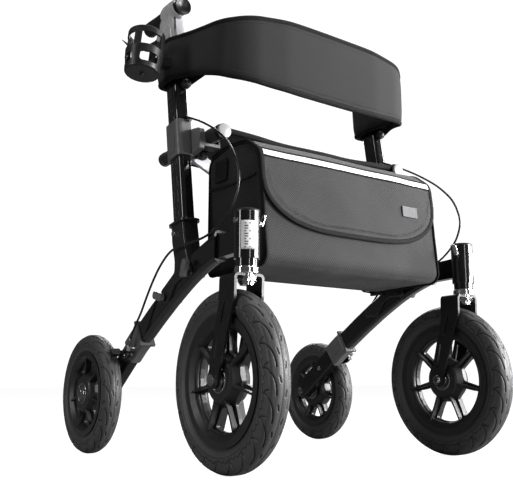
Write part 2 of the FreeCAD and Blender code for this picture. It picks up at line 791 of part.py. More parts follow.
def handle(side):
    """The telescoping stem, the two-part handle shell, the grip on it and the brake lever under the grip."""
    s = SIDES[side]
    x = s * size("frame_half")
    place = post_place(side)
    wide = size("post_width") - 2 * size("post_wall") - 0.6
    deep = size("post_depth") - 2 * size("post_wall") - 0.6
    stem = prism(f"handle_stem_{side}", "XY_Plane", rectangle(wide, deep, 5.6), 215, 163)
    stem.Placement = place
    keep(f"handle_stem_{side}", stem)

    # shell: lofted through rounded sections up the post line
    body = new_body(f"shell_loft_{side}")
    sections = []
    for number, (level, section_wide, section_deep, shift) in enumerate(
        ((378, 25, 38, 0), (392, 33, 48, 0), (416, 38, 56, 2), (440, 37, 58, 4), (460, 30, 50, 4))
    ):
        loop = rounded(rectangle(section_wide, section_deep, section_wide * 0.36, shift))
        sections.append(sketch_in(body, f"shell_section{number}_{side}", "XY_Plane", level, [loop]))
    loft = body.newObject("PartDesign::AdditiveLoft", f"shell_form_{side}")
    loft.Profile = sections[0]
    loft.Sections = sections[1:]
    loft.Ruled = False
    body.Placement = place

    pivot_y = size("lever_pivot_y")
    pivot_z = size("lever_pivot_z")
    ears = []
    for name, start in (("inner", -11), ("outer", 6)):
        low_z = pivot_z - 11
        high_z = pivot_z + 11
        corners = [(235, low_z), (pivot_y + 9, low_z, 9), (pivot_y + 9, high_z, 9), (235, high_z)]
        ears.append(prism(f"shell_ear_{name}_{side}", "YZ_Plane", corners, x + start, 5))
    pin_ends = (x - 12, pivot_y, pivot_z), (x + 12, pivot_y, pivot_z)
    pin = rod(f"lever_pin_{side}", *pin_ends, "dims.pin_radius - 1")
    solid = fuse(f"shell_solid_{side}", body, *ears, pin)
    grip_low = Vector(x, 192, 910)
    grip_high = Vector(x, 338, 920)
    seat_cut = rod(f"shell_grip_cut_{side}", grip_low, grip_high, 17)
    keep(f"handle_shell_{side}", cut(f"handle_shell_{side}", solid, seat_cut))

    # grip: turned about its own axis, fuller in the palm, with a collar at the shell
    length = (grip_high - grip_low).Length
    grip = lathe(
        f"grip_{side}",
        [
            (0, 0),
            (0, 13, 4),
            (8, 17, 5),
            (50, 16.6, 30),
            (72, 15, 60),
            (112, 17, 60),
            (length - 6, 15, 5),
            (length, 10, 4),
            (length, 0),
        ],
    )
    grip.Placement = Placement(grip_low, Rotation(Vector(1, 0, 0), grip_high - grip_low))
    keep(f"grip_{side}", grip)

    # brake lever: a flat curved blade on the pin, hanging below the grip as far as its rounded end
    line = [(pivot_y, pivot_z), (300, 868), (330, 872), (358, 880)]
    corners = strip(line, 6.5)
    last = len(line)
    for index in (0, last - 1, last, 2 * last - 1):
        corners[index] = corners[index][:2] + (6,)
    for index in (1, 2, last + 1, last + 2):
        corners[index] = corners[index][:2] + (30,)
    blade = prism(f"lever_blade_{side}", "YZ_Plane", corners, x - 5.4, 10.8)
    eye = rod(f"lever_eye_{side}", (x - 5.4, pivot_y, pivot_z), (x + 5.4, pivot_y, pivot_z), 8.5)
    bore = rod(f"lever_bore_{side}", (x - 9, pivot_y, pivot_z), (x + 9, pivot_y, pivot_z),
               "dims.pin_radius - 1 + dims.running_gap")
    lever = fuse(f"lever_solid_{side}", blade, eye)
    keep(f"brake_lever_{side}", cut(f"brake_lever_{side}", lever, bore))


# ---- brake -----------------------------------------------------------------------------------------------

CABLE_ROUTE = [
    (266, 171.6, 666),
    (268, 118, 642),
    (272, 60, 610),
    (278, 8, 574),
    (283, -30, 534),
    (285, -46, 485),
    (286, -30, 446),
    (289, 4, 419),
    (294, 42, 402),
    (297, 85, 397),
    (298, 130, 398),
    (298, 174, 391),
    (298, 211, 368),
    (298, 240, 340),
    (298, 265, 310),
    (299, 284, 282),
    (301, 302, 260),
    (302, 317, 240),
    (302, 326, 220),
]


def tube_path(points, label):
    """Straight runs joined by tangent arcs as large as the runs allow; returns the wire and its length."""
    line = [Vector(*p) for p in points]
    edges = []
    start = line[0]
    radii = []
    for before, corner, after in zip(line, line[1:], line[2:]):
        into = (corner - before).normalize()
        out = (after - corner).normalize()
        turn = into.getAngle(out)
        shorter = min((corner - before).Length, (after - corner).Length)
        reach = 0.45 * shorter
        radius = reach / math.tan(turn / 2)
        radii.append(round(radius))
        first = corner - into * reach
        last = corner + out * reach
        inward = (out - into).normalize()
        centre = corner + inward * (radius / math.cos(turn / 2))
        middle = centre - inward * radius
        edges.append(Part.LineSegment(start, first).toShape())
        edges.append(Part.Arc(first, middle, last).toShape())
        start = last
    edges.append(Part.LineSegment(start, line[-1]).toShape())
    print(label, "bend radii", radii)
    return Part.Wire(edges)


def brake(side):
    """The outer cable from the post to the rear brake, and the hinged arm whose shoe meets the tyre."""
    s = SIDES[side]
    route = [(s * a, b, c) for a, b, c in CABLE_ROUTE]
    path = tube_path(route, f"brake_cable_{side}")
    radius = size("cable_radius")
    first = Vector(*route[0])
    ring = Part.Wire(Part.makeCircle(radius, first, Vector(*route[1]) - first))
    tube = path.makePipeShell([ring], True, False)
    cable = doc.addObject("Part::Feature", f"brake_cable_{side}")
    cable.Shape = tube
    expected = math.pi * radius**2 * path.Length
    print(f"brake_cable_{side} length {path.Length:.1f} volume ratio {tube.Volume / expected:.4f}")
    keep(f"brake_cable_{side}", cable)

    # rocking brake arm beside the sleeve: the cable lifts its front end and the shoe behind meets the tyre
    face = size("frame_half") + size("leg_width") / 2 + 6.2
    thick = 5
    pivot = (size("brake_pivot_y"), size("brake_pivot_z"))
    eye = (333, 203)
    low_x, high_x = span(side, face, face + thick)
    corners = [(327, 200, 5), (336, 194, 6), (356, 190, 9), (386, 199, 4), (386, 213, 4), (352, 211, 20)]
    corners.append((330, 209, 5))
    plate = prism(f"brake_plate_{side}", "YZ_Plane", corners, low_x, high_x - low_x)
    reach = size("rear_tyre_radius") + 1.8
    centre = (size("rear_axle_y"), size("rear_tyre_radius"))
    shoe_low, shoe_high = span(side, face + thick - 1, face + 24)
    shoe_corners = []
    for distance, angle in ((reach, 136), (reach + 7, 136), (reach + 7, 143), (reach, 143)):
        turn = math.radians(angle)
        shoe_corners.append((centre[0] + distance * math.cos(turn), centre[1] + distance * math.sin(turn)))
    shoe = prism(f"brake_pad_{side}", "YZ_Plane", shoe_corners, shoe_low, shoe_high - shoe_low)
    stud = rod(f"brake_stud_{side}", (s * (face + 1), *eye), (s * 304.5, *eye), 2.6)
    end = Vector(*route[-1])
    along = (end - Vector(*route[-2])).normalize()
    wire = rod(f"brake_wire_{side}", (s * 302, *eye), end + along * 4, 0.9)
    solid = fuse(f"brake_arm_solid_{side}", plate, shoe, stud, wire)
    near = (s * (face - 0.2), *pivot)
    far = (s * (face + thick + 0.2), *pivot)
    pin = 3
    bore = rod(f"brake_bore_{side}", near, far, f"{pin} + dims.running_gap")
    tyre_low = (s * (size("rear_track_half") - 40), *centre)
    tyre_high = (s * (size("rear_track_half") + 40), *centre)
    swept = rod(f"brake_tyre_clear_{side}", tyre_low, tyre_high, reach)
    keep(f"brake_arm_{side}", cut(f"brake_arm_{side}", solid, bore, swept))

    # the arm's pivot screw, and the barrel on its tab where the outer cable ends
    root = (s * (face - 3.2), *pivot)
    shank = rod(f"brake_pivot_{side}", root, far, pin)
    screw_head = rod(f"brake_pivot_head_{side}", far, (s * (face + thick + 3), *pivot), 5)
    screw = fuse(f"brake_screw_{side}", shank, screw_head)
    tab_low, tab_high = span(side, face - 3.2, 308)
    tab = block(f"cable_tab_{side}", (tab_low, 322, 214), (tab_high, 333, 218))
    barrel = rod(f"cable_barrel_{side}", end, end + along * 10, 4)
    barrel_solid = fuse(f"cable_barrel_solid_{side}", barrel, tab)
    wire_way = rod(f"cable_wire_way_{side}", end + along * 1.5, end + along * 12, 2.3)
    return [screw, cut(f"cable_stop_{side}", barrel_solid, wire_way)]


# ---- cross brace and seat rails --------------------------------------------------------------------------


def brace(node, y, mirror, pins):
    """One arm of the cross brace, from a lower pivot on one side to an upper pivot on the other."""
    half = size("rail_half")
    low = size("pivot_low_z")
    high = size("pivot_high_z")
    start = Vector(-half * mirror, 0, low)
    end = Vector(half * mirror, 0, high)
    along = (end - start).normalize()
    across = Vector(-along.z, 0, along.x)
    deep = size("arm_depth") / 2
    corners = []
    ends = (start, -1, -1), (end, 1, -1), (end, 1, 1), (start, -1, 1)
    for point, push, lift in ends:
        corner = point + along * (push * deep) + across * (lift * deep)
        corners.append((corner.x, corner.z, deep - 0.1))
    thick = size("arm_thickness")
    middle = (start + end) * 0.5
    holes = [
        circle(start.x, start.z, size("pin_radius") + size("running_gap")),
        circle(end.x, end.z, size("pin_radius") + size("running_gap")),
    ]
    if not pins:
        holes.append(circle(middle.x, middle.z, size("pin_radius") + size("running_gap")))
    bar = prism(f"{node}_bar", "XZ_Plane", corners, -(y + thick), "dims.arm_thickness", holes)
    if not pins:
        return keep(node, bar)
    pin = rod(f"{node}_pin", (middle.x, y - 3, middle.z), (middle.x, y + 28, middle.z), "dims.pin_radius")
    head = rod(f"{node}_pin_head", (middle.x, y - 4, middle.z), (middle.x, y, middle.z), 8)
    nut = hexagon(f"{node}_pin_nut", (middle.x, y + 26, middle.z), (middle.x, y + 31, middle.z), 9)
    spacer = rod(f"{node}_spacer", (middle.x, y + thick, middle.z), (middle.x, y + thick + 4.6, middle.z), 8)
    return keep(node, fuse(node, bar, pin, head, nut, spacer))


def seat_rail(side):
    """A round seat rail with end caps and the lug below it that takes the brace's upper pin."""
    s = SIDES[side]
    x = s * size("rail_half")
    z = size("rail_z")
    front = size("rail_front")
    back = front + size("rail_length")
    tube = rod(f"rail_tube_{side}", (x, front, z), (x, back, z), "dims.rail_radius")
    pivot = size("pivot_high_z")
    ears = []
    for name, start in (("front", 164.5), ("rear", 199.5)):
        corners = [(x - 12, z - 2), (x - 12, pivot - 12, 11), (x + 12, pivot - 12, 11), (x + 12, z - 2)]
        ears.append(prism(f"rail_ear_{name}_{side}", "XZ_Plane", corners, -(start + 4), 4))
    pin = rod(f"rail_pin_{side}", (x, 162, pivot), (x, 206, pivot), "dims.pin_radius")
    solid = fuse(f"rail_solid_{side}", tube, *ears, pin)
    hollow = rod(f"rail_hollow_{side}", (x, front + 6, z), (x, back - 6, z), "dims.rail_radius - 2")
    keep(f"seat_rail_{side}", cut(f"seat_rail_{side}", solid, hollow))


# ---- soft goods and accessories --------------------------------------------------------------------------


def soft_goods():
    """Plain closed solids of the sling seat, the bag and the back band."""
    half = size("seat_half")
    front = size("seat_front")
    back = size("seat_back")
    plan = [(-half, front, 8), (half, front, 8), (half, back, 8), (-half, back, 8)]
    keep("seat", prism("seat", "XY_Plane", plan, "dims.seat_low_z", "dims.seat_thickness"))

    outline = [(-36, 348, 14), (160, 344, 14), (160, 580, 20), (96, 592, 20), (30, 588, 20), (-18, 556, 20)]
    bag_skin = prism("bag_skin", "YZ_Plane", outline, "-dims.bag_half", "2 * dims.bag_half")
    inside = [(-33, 351, 11), (157, 347, 11), (157, 577.5, 17), (95.8, 589, 17)]
    inside += [(31, 585, 17), (-15.6, 554.4, 17)]
    inner_low = "dims.bag_wall - dims.bag_half"
    bag_space = prism("bag_space", "YZ_Plane", inside, inner_low, "2 * (dims.bag_half - dims.bag_wall)")
    keep("bag", cut("bag", bag_skin, bag_space))

    strip_plan = [(-282, 178), (-266, 178), (-212, 47, 26), (212, 47, 26), (266, 178), (282, 178)]
    strip_plan += [(226, 32, 45), (-226, 32, 45)]
    band_plan = prism("band_plan", "XY_Plane", strip_plan, 700, 180)
    face = [
        (-285, 764),
        (-219, 717, 40),
        (0, 711, 600),
        (219, 717, 40),
        (285, 764),
        (285, 838),
        (219, 844, 40),
        (0, 860, 600),
        (-219, 844, 40),
        (-285, 838),
    ]
    band_front = prism("band_front", "XZ_Plane", face, -190, 180)
    keep("backrest", common("backrest", band_plan, band_front))


CUP_BASE = Vector(-366, 178, 734)
CUP_LEAN = Vector(12, 7, 85)


def cup_holder():
    """The open cup holder: a tapered basket with windows, a top ring on four ribs and its post clamp."""
    inner = size("cup_radius")
    height = size("cup_height")
    ring_wall = 3.5
    basket = lathe(
        "cup_basket",
        [
            (0, 0),
            (0, inner + 1, 4),
            (31, inner + 3.5),
            (47, inner + 4.5, 1),
            (47, inner + 1.5, 1),
            (4, inner - 2.5),
            (4, 0),
        ],
    )
    rim_low = height - 13
    outer = inner + ring_wall
    ring_corners = [(rim_low, inner), (height, inner, 1), (height, outer, 1.5), (rim_low, outer)]
    ring = lathe("cup_ring", ring_corners)
    pieces = [basket, ring]
    ribs = 4
    for number in range(ribs):
        angle = 35 + 360 / ribs * number
        rib = block(f"cup_rib{number}", (40, -7, inner), (height - 8, 7, inner + ring_wall))
        rib.Placement = Placement(Vector(), Rotation(Vector(1, 0, 0), angle)).multiply(rib.Placement)
        pieces.append(rib)
    pieces.append(rod("cup_nub", (-5, 0, 0), (2, 0, 0), 4))
    solid = fuse("cup_solid", *pieces)
    windows = []
    window_corners = [(11, -18, 6), (31, -18, 6), (31, 18, 6), (11, 18, 6)]
    for number in range(ribs):
        window = prism(f"cup_window{number}", "XY_Plane", window_corners, inner - 14, 40)
        window.Placement = Placement(Vector(), Rotation(Vector(1, 0, 0), 80 + 360 / ribs * number))
        windows.append(window)
    holder = cut("cup_local", solid, *windows)
    holder.Placement = Placement(CUP_BASE, Rotation(Vector(1, 0, 0), CUP_LEAN))

    place = post_place("left")
    wide = size("post_width")
    deep = size("post_depth")
    slack = 0.2
    hole = [rounded(rectangle(wide + slack, deep + slack, 9))]
    clamp = prism("cup_clamp", "XY_Plane", rectangle(wide + 10, deep + 10, 12), 318, 22, hole)
    clamp.Placement = place
    arm = block("cup_arm", (-326, 183, 768), (-288, 203, 786))
    joined = fuse("cup_joined", holder, clamp, arm)
    clear_post = prism("cup_post_clear", "XY_Plane", rectangle(wide + slack, deep + slack, 9), 290, 70)
    clear_post.Placement = place
    well = rod("cup_well", CUP_BASE + CUP_LEAN * 0.3, CUP_BASE + CUP_LEAN * 1.2, inner - 0.01)
    keep("cup_holder", cut("cup_holder", joined, clear_post, well))


# ---- assembly --------------------------------------------------------------------------------------------

for side_name, sign in SIDES.items():
    front_radius = size("front_tyre_radius")
    rear_radius = size("rear_tyre_radius")
    front_centre = (sign * size("frame_half"), 0, front_radius)
    rear_centre = (sign * size("rear_track_half"), size("rear_axle_y"), rear_radius)
    wheel("front", side_name, front_centre, front_radius, size("front_tyre_half"), size("front_rim_radius"))
    wheel("rear", side_name, rear_centre, rear_radius, size("rear_tyre_half"), size("rear_rim_radius"))
    fork(side_name)
    head_tube(side_name)
    legs(side_name)
    posts(side_name)
    pivot_bracket(side_name)
    clamp_knob(side_name)
    handle(side_name)
    fasteners(side_name, brake(side_name))
    seat_rail(side_name)
brace("brace_arm_a", size("arm_a_y"), 1, True)
brace("brace_arm_b", size("arm_b_y"), -1, False)
soft_goods()
cup_holder()

doc.recompute()

for feature in doc.Objects:
    for state in feature.State:
        if state in ("Invalid", "Error"):
            raise RuntimeError(f"{feature.Name} failed to build")
for node, feature in subparts.items():
    if feature.Shape.isNull() or not feature.Shape.isValid():
        raise RuntimeError(f"{node} has no valid shape")

os.makedirs("parts", exist_ok=True)
for node, feature in subparts.items():
    feature.Shape.exportStep(f"parts/{node}.step")
print(len(subparts), "sub-parts")
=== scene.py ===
import json
import math

import bpy
import numpy as np
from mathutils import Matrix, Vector, noise


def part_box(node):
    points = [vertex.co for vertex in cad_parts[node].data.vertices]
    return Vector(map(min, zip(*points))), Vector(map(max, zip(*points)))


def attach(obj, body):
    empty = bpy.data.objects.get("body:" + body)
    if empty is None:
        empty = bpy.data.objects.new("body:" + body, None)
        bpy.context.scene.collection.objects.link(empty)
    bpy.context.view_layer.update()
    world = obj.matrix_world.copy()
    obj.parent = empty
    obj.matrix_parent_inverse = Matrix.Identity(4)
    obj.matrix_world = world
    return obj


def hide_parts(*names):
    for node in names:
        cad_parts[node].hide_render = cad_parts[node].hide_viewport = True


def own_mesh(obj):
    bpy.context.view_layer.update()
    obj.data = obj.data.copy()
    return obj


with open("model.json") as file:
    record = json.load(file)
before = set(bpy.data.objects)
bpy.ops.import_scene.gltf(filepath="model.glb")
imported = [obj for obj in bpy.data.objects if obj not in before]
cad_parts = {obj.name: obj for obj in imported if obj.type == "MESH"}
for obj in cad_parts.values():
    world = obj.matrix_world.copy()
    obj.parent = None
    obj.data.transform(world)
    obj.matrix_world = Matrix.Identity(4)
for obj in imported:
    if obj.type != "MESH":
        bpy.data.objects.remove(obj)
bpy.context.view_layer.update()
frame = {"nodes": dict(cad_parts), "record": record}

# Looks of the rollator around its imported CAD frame. Metres, +Z up, the walker travels towards -Y.

SIDES = {"left": -1, "right": 1}
NODES = frame["nodes"]
JOINTS = {joint["name"]: joint for joint in frame["record"]["behaviour"]["joints"]}
FRAME_HALF = JOINTS["castor_right"]["pos_m"][0]
STEER_Y = JOINTS["castor_right"]["pos_m"][1]
RAIL_HALF = JOINTS["rail_right_pivot"]["pos_m"][0]
LEAN = Vector(JOINTS["handle_height_left"]["axis"])
FORE = Vector((0, LEAN.z, -LEAN.y))
POST_FOOT = Vector((FRAME_HALF, 0.162, 0.450))


def on_post(side, across, fore, level):
    """A point given in a post's own frame: across it, behind its middle line, and up it from its foot."""
    foot = POST_FOOT * Vector((SIDES[side], 1, 1))
    return foot + Vector((across, 0, 0)) + FORE * fore + LEAN * level


# ---- camera ----

camera_data = bpy.data.cameras.new("camera")
camera_data.sensor_width = 36
camera_data.lens = 51.61
camera_data.shift_x = -0.0248
camera_data.shift_y = -0.0111
camera_data.clip_start = 0.05
camera = bpy.data.objects.new("camera", camera_data)
camera.location = (-0.954, -1.050, 0.156)
camera.rotation_euler = (math.radians(90 + 10.83), 0, -math.radians(36.04))
bpy.context.scene.collection.objects.link(camera)
bpy.context.scene.camera = camera


# ---- meshes ----


def mesh_object(name, points, faces, uvs=None, smooth=True):
    """An object from points and faces, with optional UVs per point."""
    mesh = bpy.data.meshes.new(name)
    mesh.from_pydata([tuple(p) for p in points], [], faces)
    if uvs is not None:
        layer = mesh.uv_layers.new(name="UVMap")
        corners = np.zeros(len(mesh.loops), dtype=np.int32)
        mesh.loops.foreach_get("vertex_index", corners)
        layer.data.foreach_set("uv", np.asarray(uvs, dtype=np.float32)[corners].ravel())
    mesh.polygons.foreach_set("use_smooth", [smooth] * len(mesh.polygons))
    mesh.validate()
    mesh.update()
    made = bpy.data.objects.new(name, mesh)
    bpy.context.scene.collection.objects.link(made)
    return made


def grid_faces(rows, columns, wrap_rows=False, wrap_columns=False):
    """Quads of a grid of points stored row by row."""
    faces = []
    for i in range(rows if wrap_rows else rows - 1):
        for j in range(columns if wrap_columns else columns - 1):
            a = i * columns + j
            b = i * columns + (j + 1) % columns
            c = (i + 1) % rows * columns + (j + 1) % columns
            d = (i + 1) % rows * columns + j
            faces.append((a, b, c, d))
    return faces


def end_caps(rows, columns):
    """The two faces that close the ends of a swept grid."""
    return [tuple(range(columns))[::-1], tuple((rows - 1) * columns + j for j in range(columns))]


def swept_faces(rows, columns):
    """Faces of a closed form swept ring by ring."""
    return grid_faces(rows, columns, wrap_columns=True) + end_caps(rows, columns)


def grid(name, point, rows, columns, wrap_columns=False, size=(1, 1), caps=False):
    """A surface through point(u, v), with UVs in metres for a surface of the given size."""
    points = []
    uvs = []
    for i in range(rows):
        u = i / (rows - 1)
        for j in range(columns):
            v = j / (columns if wrap_columns else columns - 1)
            points.append(point(u, v))
            uvs.append((u * size[0], v * size[1]))
    faces = grid_faces(rows, columns, wrap_columns=wrap_columns)
    if caps:
        faces += end_caps(rows, columns)
    return mesh_object(name, points, faces, uvs)


def rounded_path(corners, count, closed=False):
    """Even points along a path through (a, b, radius, *more) corners; further values are carried along."""
    dense = []
    total = len(corners)
    for i, corner in enumerate(corners):
        here = Vector(corner[:2])
        radius = corner[2]
        more = corner[3:]
        if not radius or (not closed and i in (0, total - 1)):
            dense.append((*here, *more))
            continue
        before = (Vector(corners[i - 1][:2]) - here).normalized()
        after = (Vector(corners[(i + 1) % total][:2]) - here).normalized()
        half = before.angle(after) / 2
        reach = radius / math.tan(half)
        centre = here + (before + after).normalized() * (radius / math.sin(half))
        start = here + before * reach - centre
        end = here + after * reach - centre
        steps = 10
        for step in range(steps + 1):
            spoke = start.lerp(end, step / steps).normalized() * radius
            dense.append((*(centre + spoke), *more))
    if closed:
        dense.append(dense[0])
    dense = np.array(dense)
    lengths = np.linalg.norm(np.diff(dense[:, :2], axis=0), axis=1)
    along = np.concatenate([[0], np.cumsum(lengths)])
    wanted = np.linspace(0, along[-1], count + 1 if closed else count)
    columns = [np.interp(wanted, along, dense[:, k]) for k in range(dense.shape[1])]
    out = np.stack(columns, axis=1)
    return (out[:-1] if closed else out), along[-1]


def normals_2d(points, closed):
    """Unit normals to the left of a 2-D path's direction."""
    if closed:
        step = np.roll(points[:, :2], -1, axis=0) - np.roll(points[:, :2], 1, axis=0)
    else:
        step = np.gradient(points[:, :2], axis=0)
    step /= np.linalg.norm(step, axis=1)[:, None]
    return np.stack([-step[:, 1], step[:, 0]], axis=1)


def wobble(x, y, z):
    """Smooth fixed noise, about -1 to 1."""
    return noise.noise(Vector((x, y, z)))


def turns(count):
    """Even angles round a circle."""
    return [2 * math.pi * j / count for j in range(count)]


def squared(value, power):
    """A sine or cosine pushed out towards a squarer section."""
    return math.copysign(abs(value) ** power, value)


def swept(name, points, section, up, closed=False, girth=None):
    """A section's (across, lift) offsets swept along points; section and up take a point's number."""
    line = [Vector(p) for p in points]
    count = len(line)
    sides = len(section(0))
    verts = []
    uvs = []
    travelled = 0.0
    for i, here in enumerate(line):
        ahead = line[(i + 1) % count] if closed or i < count - 1 else here
        behind = line[i - 1] if closed or i else here
        along = (ahead - behind).normalized()
        across = along.cross(up(i))
        if across.length < 1e-4:
            across = along.orthogonal()
        across.normalize()
        lift = across.cross(along)
        for j, (a, b) in enumerate(section(i)):
            verts.append(here + across * a + lift * b)
            uvs.append((travelled, j / sides * (girth or 0)))
        travelled += (ahead - here).length
    faces = grid_faces(count, sides, wrap_rows=closed, wrap_columns=True)
    if not closed:
        faces += end_caps(count, sides)
    return mesh_object(name, verts, faces, uvs if girth else None)


def tube(name, points, radius, closed=False, sides=10, flat=1.0, up=(0, 0, 1)):
    """A round or flattened cord along points, with closed ends."""
    section = [(math.cos(turn) * radius, math.sin(turn) * radius * flat) for turn in turns(sides)]
    return swept(name, points, lambda i: section, lambda i: Vector(up), closed, 2 * math.pi * radius)


def ribbon(name, points, normal_of, width, height, sides=14):
    """A folded edge tape laid along points, wide across and low over its normal."""
    section = []
    for turn in turns(sides):
        across = squared(math.cos(turn), 0.5)
        lift = squared(math.sin(turn), 0.7)
        section.append((across * width / 2, lift * height / 2))
    return swept(name, points, lambda i: section, lambda i: normal_of(i).normalized(), girth=2 * width)


def turned(name, profile, centre, axis, segments=48):
    """A turned piece: (distance along the axis, radius) points swept round a line through centre."""
    along = Vector(axis).normalized()
    across = along.orthogonal().normalized()
    third = along.cross(across)
    points = []
    for distance, radius in profile:
        for turn in turns(segments):
            spoke = across * math.cos(turn) + third * math.sin(turn)
            points.append(Vector(centre) + along * distance + spoke * max(radius, 1e-5))
    made = mesh_object(name, points, swept_faces(len(profile), segments))
    made.data.set_sharp_from_angle(angle=math.radians(38))
    return made


def thicken(piece, thickness, offset=-1.0):
    """Gives a sheet its thickness."""
    solid = piece.modifiers.new("thick", "SOLIDIFY")
    solid.thickness = thickness
    solid.offset = offset


def soften(piece, width, segments):
    """Rounds a piece's edges."""
    bevel = piece.modifiers.new("edge", "BEVEL")
    bevel.width = width
    bevel.segments = segments


# one stitch's corners, as shares of its half length, its width and its width again as height
STITCH = ((-1, 0, -0.4), (-0.6, 1, 0.3), (-0.6, -1, 0.3), (0, 0, 1.0))
STITCH += ((0.6, 1, 0.3), (0.6, -1, 0.3), (1, 0, -0.4))
STITCH_FACES = ((0, 1, 3, 2), (3, 1, 4), (2, 3, 5), (3, 4, 6, 5), (0, 2, 5, 6, 4, 1))


def stitches(name, points, normals, spacing=0.0042, length=0.0027, width=0.0005):
    """A row of short raised thread stitches along points, each lying on its surface normal."""
    line = np.array([tuple(p) for p in points])
    steps = np.linalg.norm(np.diff(line, axis=0), axis=1)
    along = np.concatenate([[0], np.cumsum(steps)])
    verts = []
    faces = []
    for place in np.arange(spacing, along[-1] - spacing, spacing):
        here = Vector([np.interp(place, along, line[:, k]) for k in range(3)])
        ahead = Vector([np.interp(place + spacing / 2, along, line[:, k]) for k in range(3)])
        k = int(np.searchsorted(along, place)) - 1
        out = Vector(normals[min(max(k, 0), len(normals) - 1)])
        forward = (ahead - here).normalized()
        side = forward.cross(out).normalized()
        base = len(verts)
        for f, w, h in STITCH:
            verts.append(here + forward * (f * length / 2) + side * (w * width) + out * (h * width))
        faces += [tuple(base + k for k in face) for face in STITCH_FACES]
    return mesh_object(name, verts, faces)


# ---- materials ----


class Shader:
    """A node material being built."""

    def __init__(self, name):
        self.material = bpy.data.materials.new(name)
        self.material.use_nodes = True
        self.tree = self.material.node_tree
        self.shader = self.tree.nodes["Principled BSDF"]
        self.place = self.tree.nodes.new("ShaderNodeTexCoord")

    def node(self, kind, values=None, **inputs):
        """A new node with its properties and its unlinked inputs set."""
        made = self.tree.nodes.new(kind)
        for key, value in (values or {}).items():
            setattr(made, key, value)
        for key, value in inputs.items():
            made.inputs[key.replace("_", " ")].default_value = value
        return made

    def link(self, source, target):
        """Joins an output to an input."""
        self.tree.links.new(source, target)

    def noise(self, scale, detail=3.0, stretch=None, where="Object"):
        """Noise over the object's own coordinates, optionally stretched along an axis."""
        made = self.node("ShaderNodeTexNoise", Scale=scale, Detail=detail)
        source = self.place.outputs[where]
        if stretch:
            mapping = self.node("ShaderNodeMapping")
            mapping.inputs["Scale"].default_value = stretch
            self.link(source, mapping.inputs["Vector"])
            source = mapping.outputs["Vector"]
        self.link(source, made.inputs["Vector"])
        return made.outputs["Fac"]

    def ranged(self, value, low, high, low_in=0.3, high_in=0.7):
        """A value spread onto a range."""
        made = self.node("ShaderNodeMapRange", From_Min=low_in, From_Max=high_in, To_Min=low, To_Max=high)
        self.link(value, made.inputs["Value"])
        return made.outputs["Result"]

    def mix(self, factor, first, second):
        """A colour between two, each a tuple or an output."""
        made = self.node("ShaderNodeMix", {"data_type": "RGBA"})
        self.link(factor, made.inputs["Factor"])
        for socket, value in ((made.inputs["A"], first), (made.inputs["B"], second)):
            colour_socket = [s for s in made.inputs if s.name == socket.name and s.type == "RGBA"][0]
            if isinstance(value, tuple):
                colour_socket.default_value = (*value, 1)
            else:
                self.link(value, colour_socket)
        return [s for s in made.outputs if s.type == "RGBA"][0]

    def math(self, operation, first, second=None):
        """A math node on outputs or numbers."""
        made = self.node("ShaderNodeMath", {"operation": operation})
        for socket, value in zip(made.inputs, (first, second)):
            if isinstance(value, (int, float)):
                socket.default_value = value
            elif value is not None:
                self.link(value, socket)
        return made.outputs["Value"]

    def bump(self, height, distance, strength=1.0, under=None):
        """A bump from a height in metres, over an optional lower normal."""
        made = self.node("ShaderNodeBump", Strength=strength, Distance=distance)
        self.link(height, made.inputs["Height"])
        if under is not None:
            self.link(under, made.inputs["Normal"])
        return made.outputs["Normal"]

    def finish(self, colour, roughness, normal, metallic=0.0, specular=0.5, coat=0.0, sheen=0.0):
        """Links the shader and sets its constants."""
        self.link(colour, self.shader.inputs["Base Color"])
        self.link(roughness, self.shader.inputs["Roughness"])
        if normal is not None:
            self.link(normal, self.shader.inputs["Normal"])
        constants = {
            "Metallic": metallic,
            "Specular IOR Level": specular,
            "Coat Weight": coat,
            "Coat Roughness": 0.12,
            "Sheen Weight": sheen,
            "Sheen Roughness": 0.5,
        }
        for socket, value in constants.items():
            self.shader.inputs[socket].default_value = value
        return self.material


def shade(colour, factor):
    """A colour made lighter or darker."""
    return tuple(min(1.0, c * factor) for c in colour)


GLOSS_SPREAD = 0.06


def hard(name, colour, roughness, metallic=0.0, peel=0.00002, peel_scale=900, edge=1.6, coat=0.0, bevel=0.0007):
    """Paint, plastic or metal: mottled tone, uneven gloss, fine surface grain and edges lightened partly by
    real wear and partly as a painted highlight.
    """
    s = Shader(name)
    broad = s.noise(14, 4)
    fine = s.noise(peel_scale, 2)
    smudge = s.noise(55, 5)
    tone = s.mix(s.ranged(broad, 0, 1), shade(colour, 0.82), shade(colour, 1.2))
    rounded = s.node("ShaderNodeBevel", {"samples": 4}, Radius=bevel)
    geometry = s.node("ShaderNodeNewGeometry")
    dot = s.node("ShaderNodeVectorMath", {"operation": "DOT_PRODUCT"})
    s.link(rounded.outputs["Normal"], dot.inputs[0])
    s.link(geometry.outputs["Normal"], dot.inputs[1])
    # painted highlight and wear: rubbed edges are lightened, partly as real wear and partly standing in for
    # light caught on the edges
    edge_wear_and_highlight = s.ranged(dot.outputs["Value"], 1, 0, 0.86, 0.995)
    rubbed_wear_and_highlight = s.math("MULTIPLY", edge_wear_and_highlight, s.ranged(smudge, 0.15, 0.8, 0.35, 0.65))
    tone = s.mix(rubbed_wear_and_highlight, tone, shade(colour, edge) if metallic else tuple(c * edge + 0.03 for c in colour))
    gloss = s.ranged(smudge, max(0.02, roughness - GLOSS_SPREAD), roughness + GLOSS_SPREAD)
    normal = s.bump(fine, peel, 0.6, rounded.outputs["Normal"])
    return s.finish(tone, gloss, normal, metallic, coat=coat)


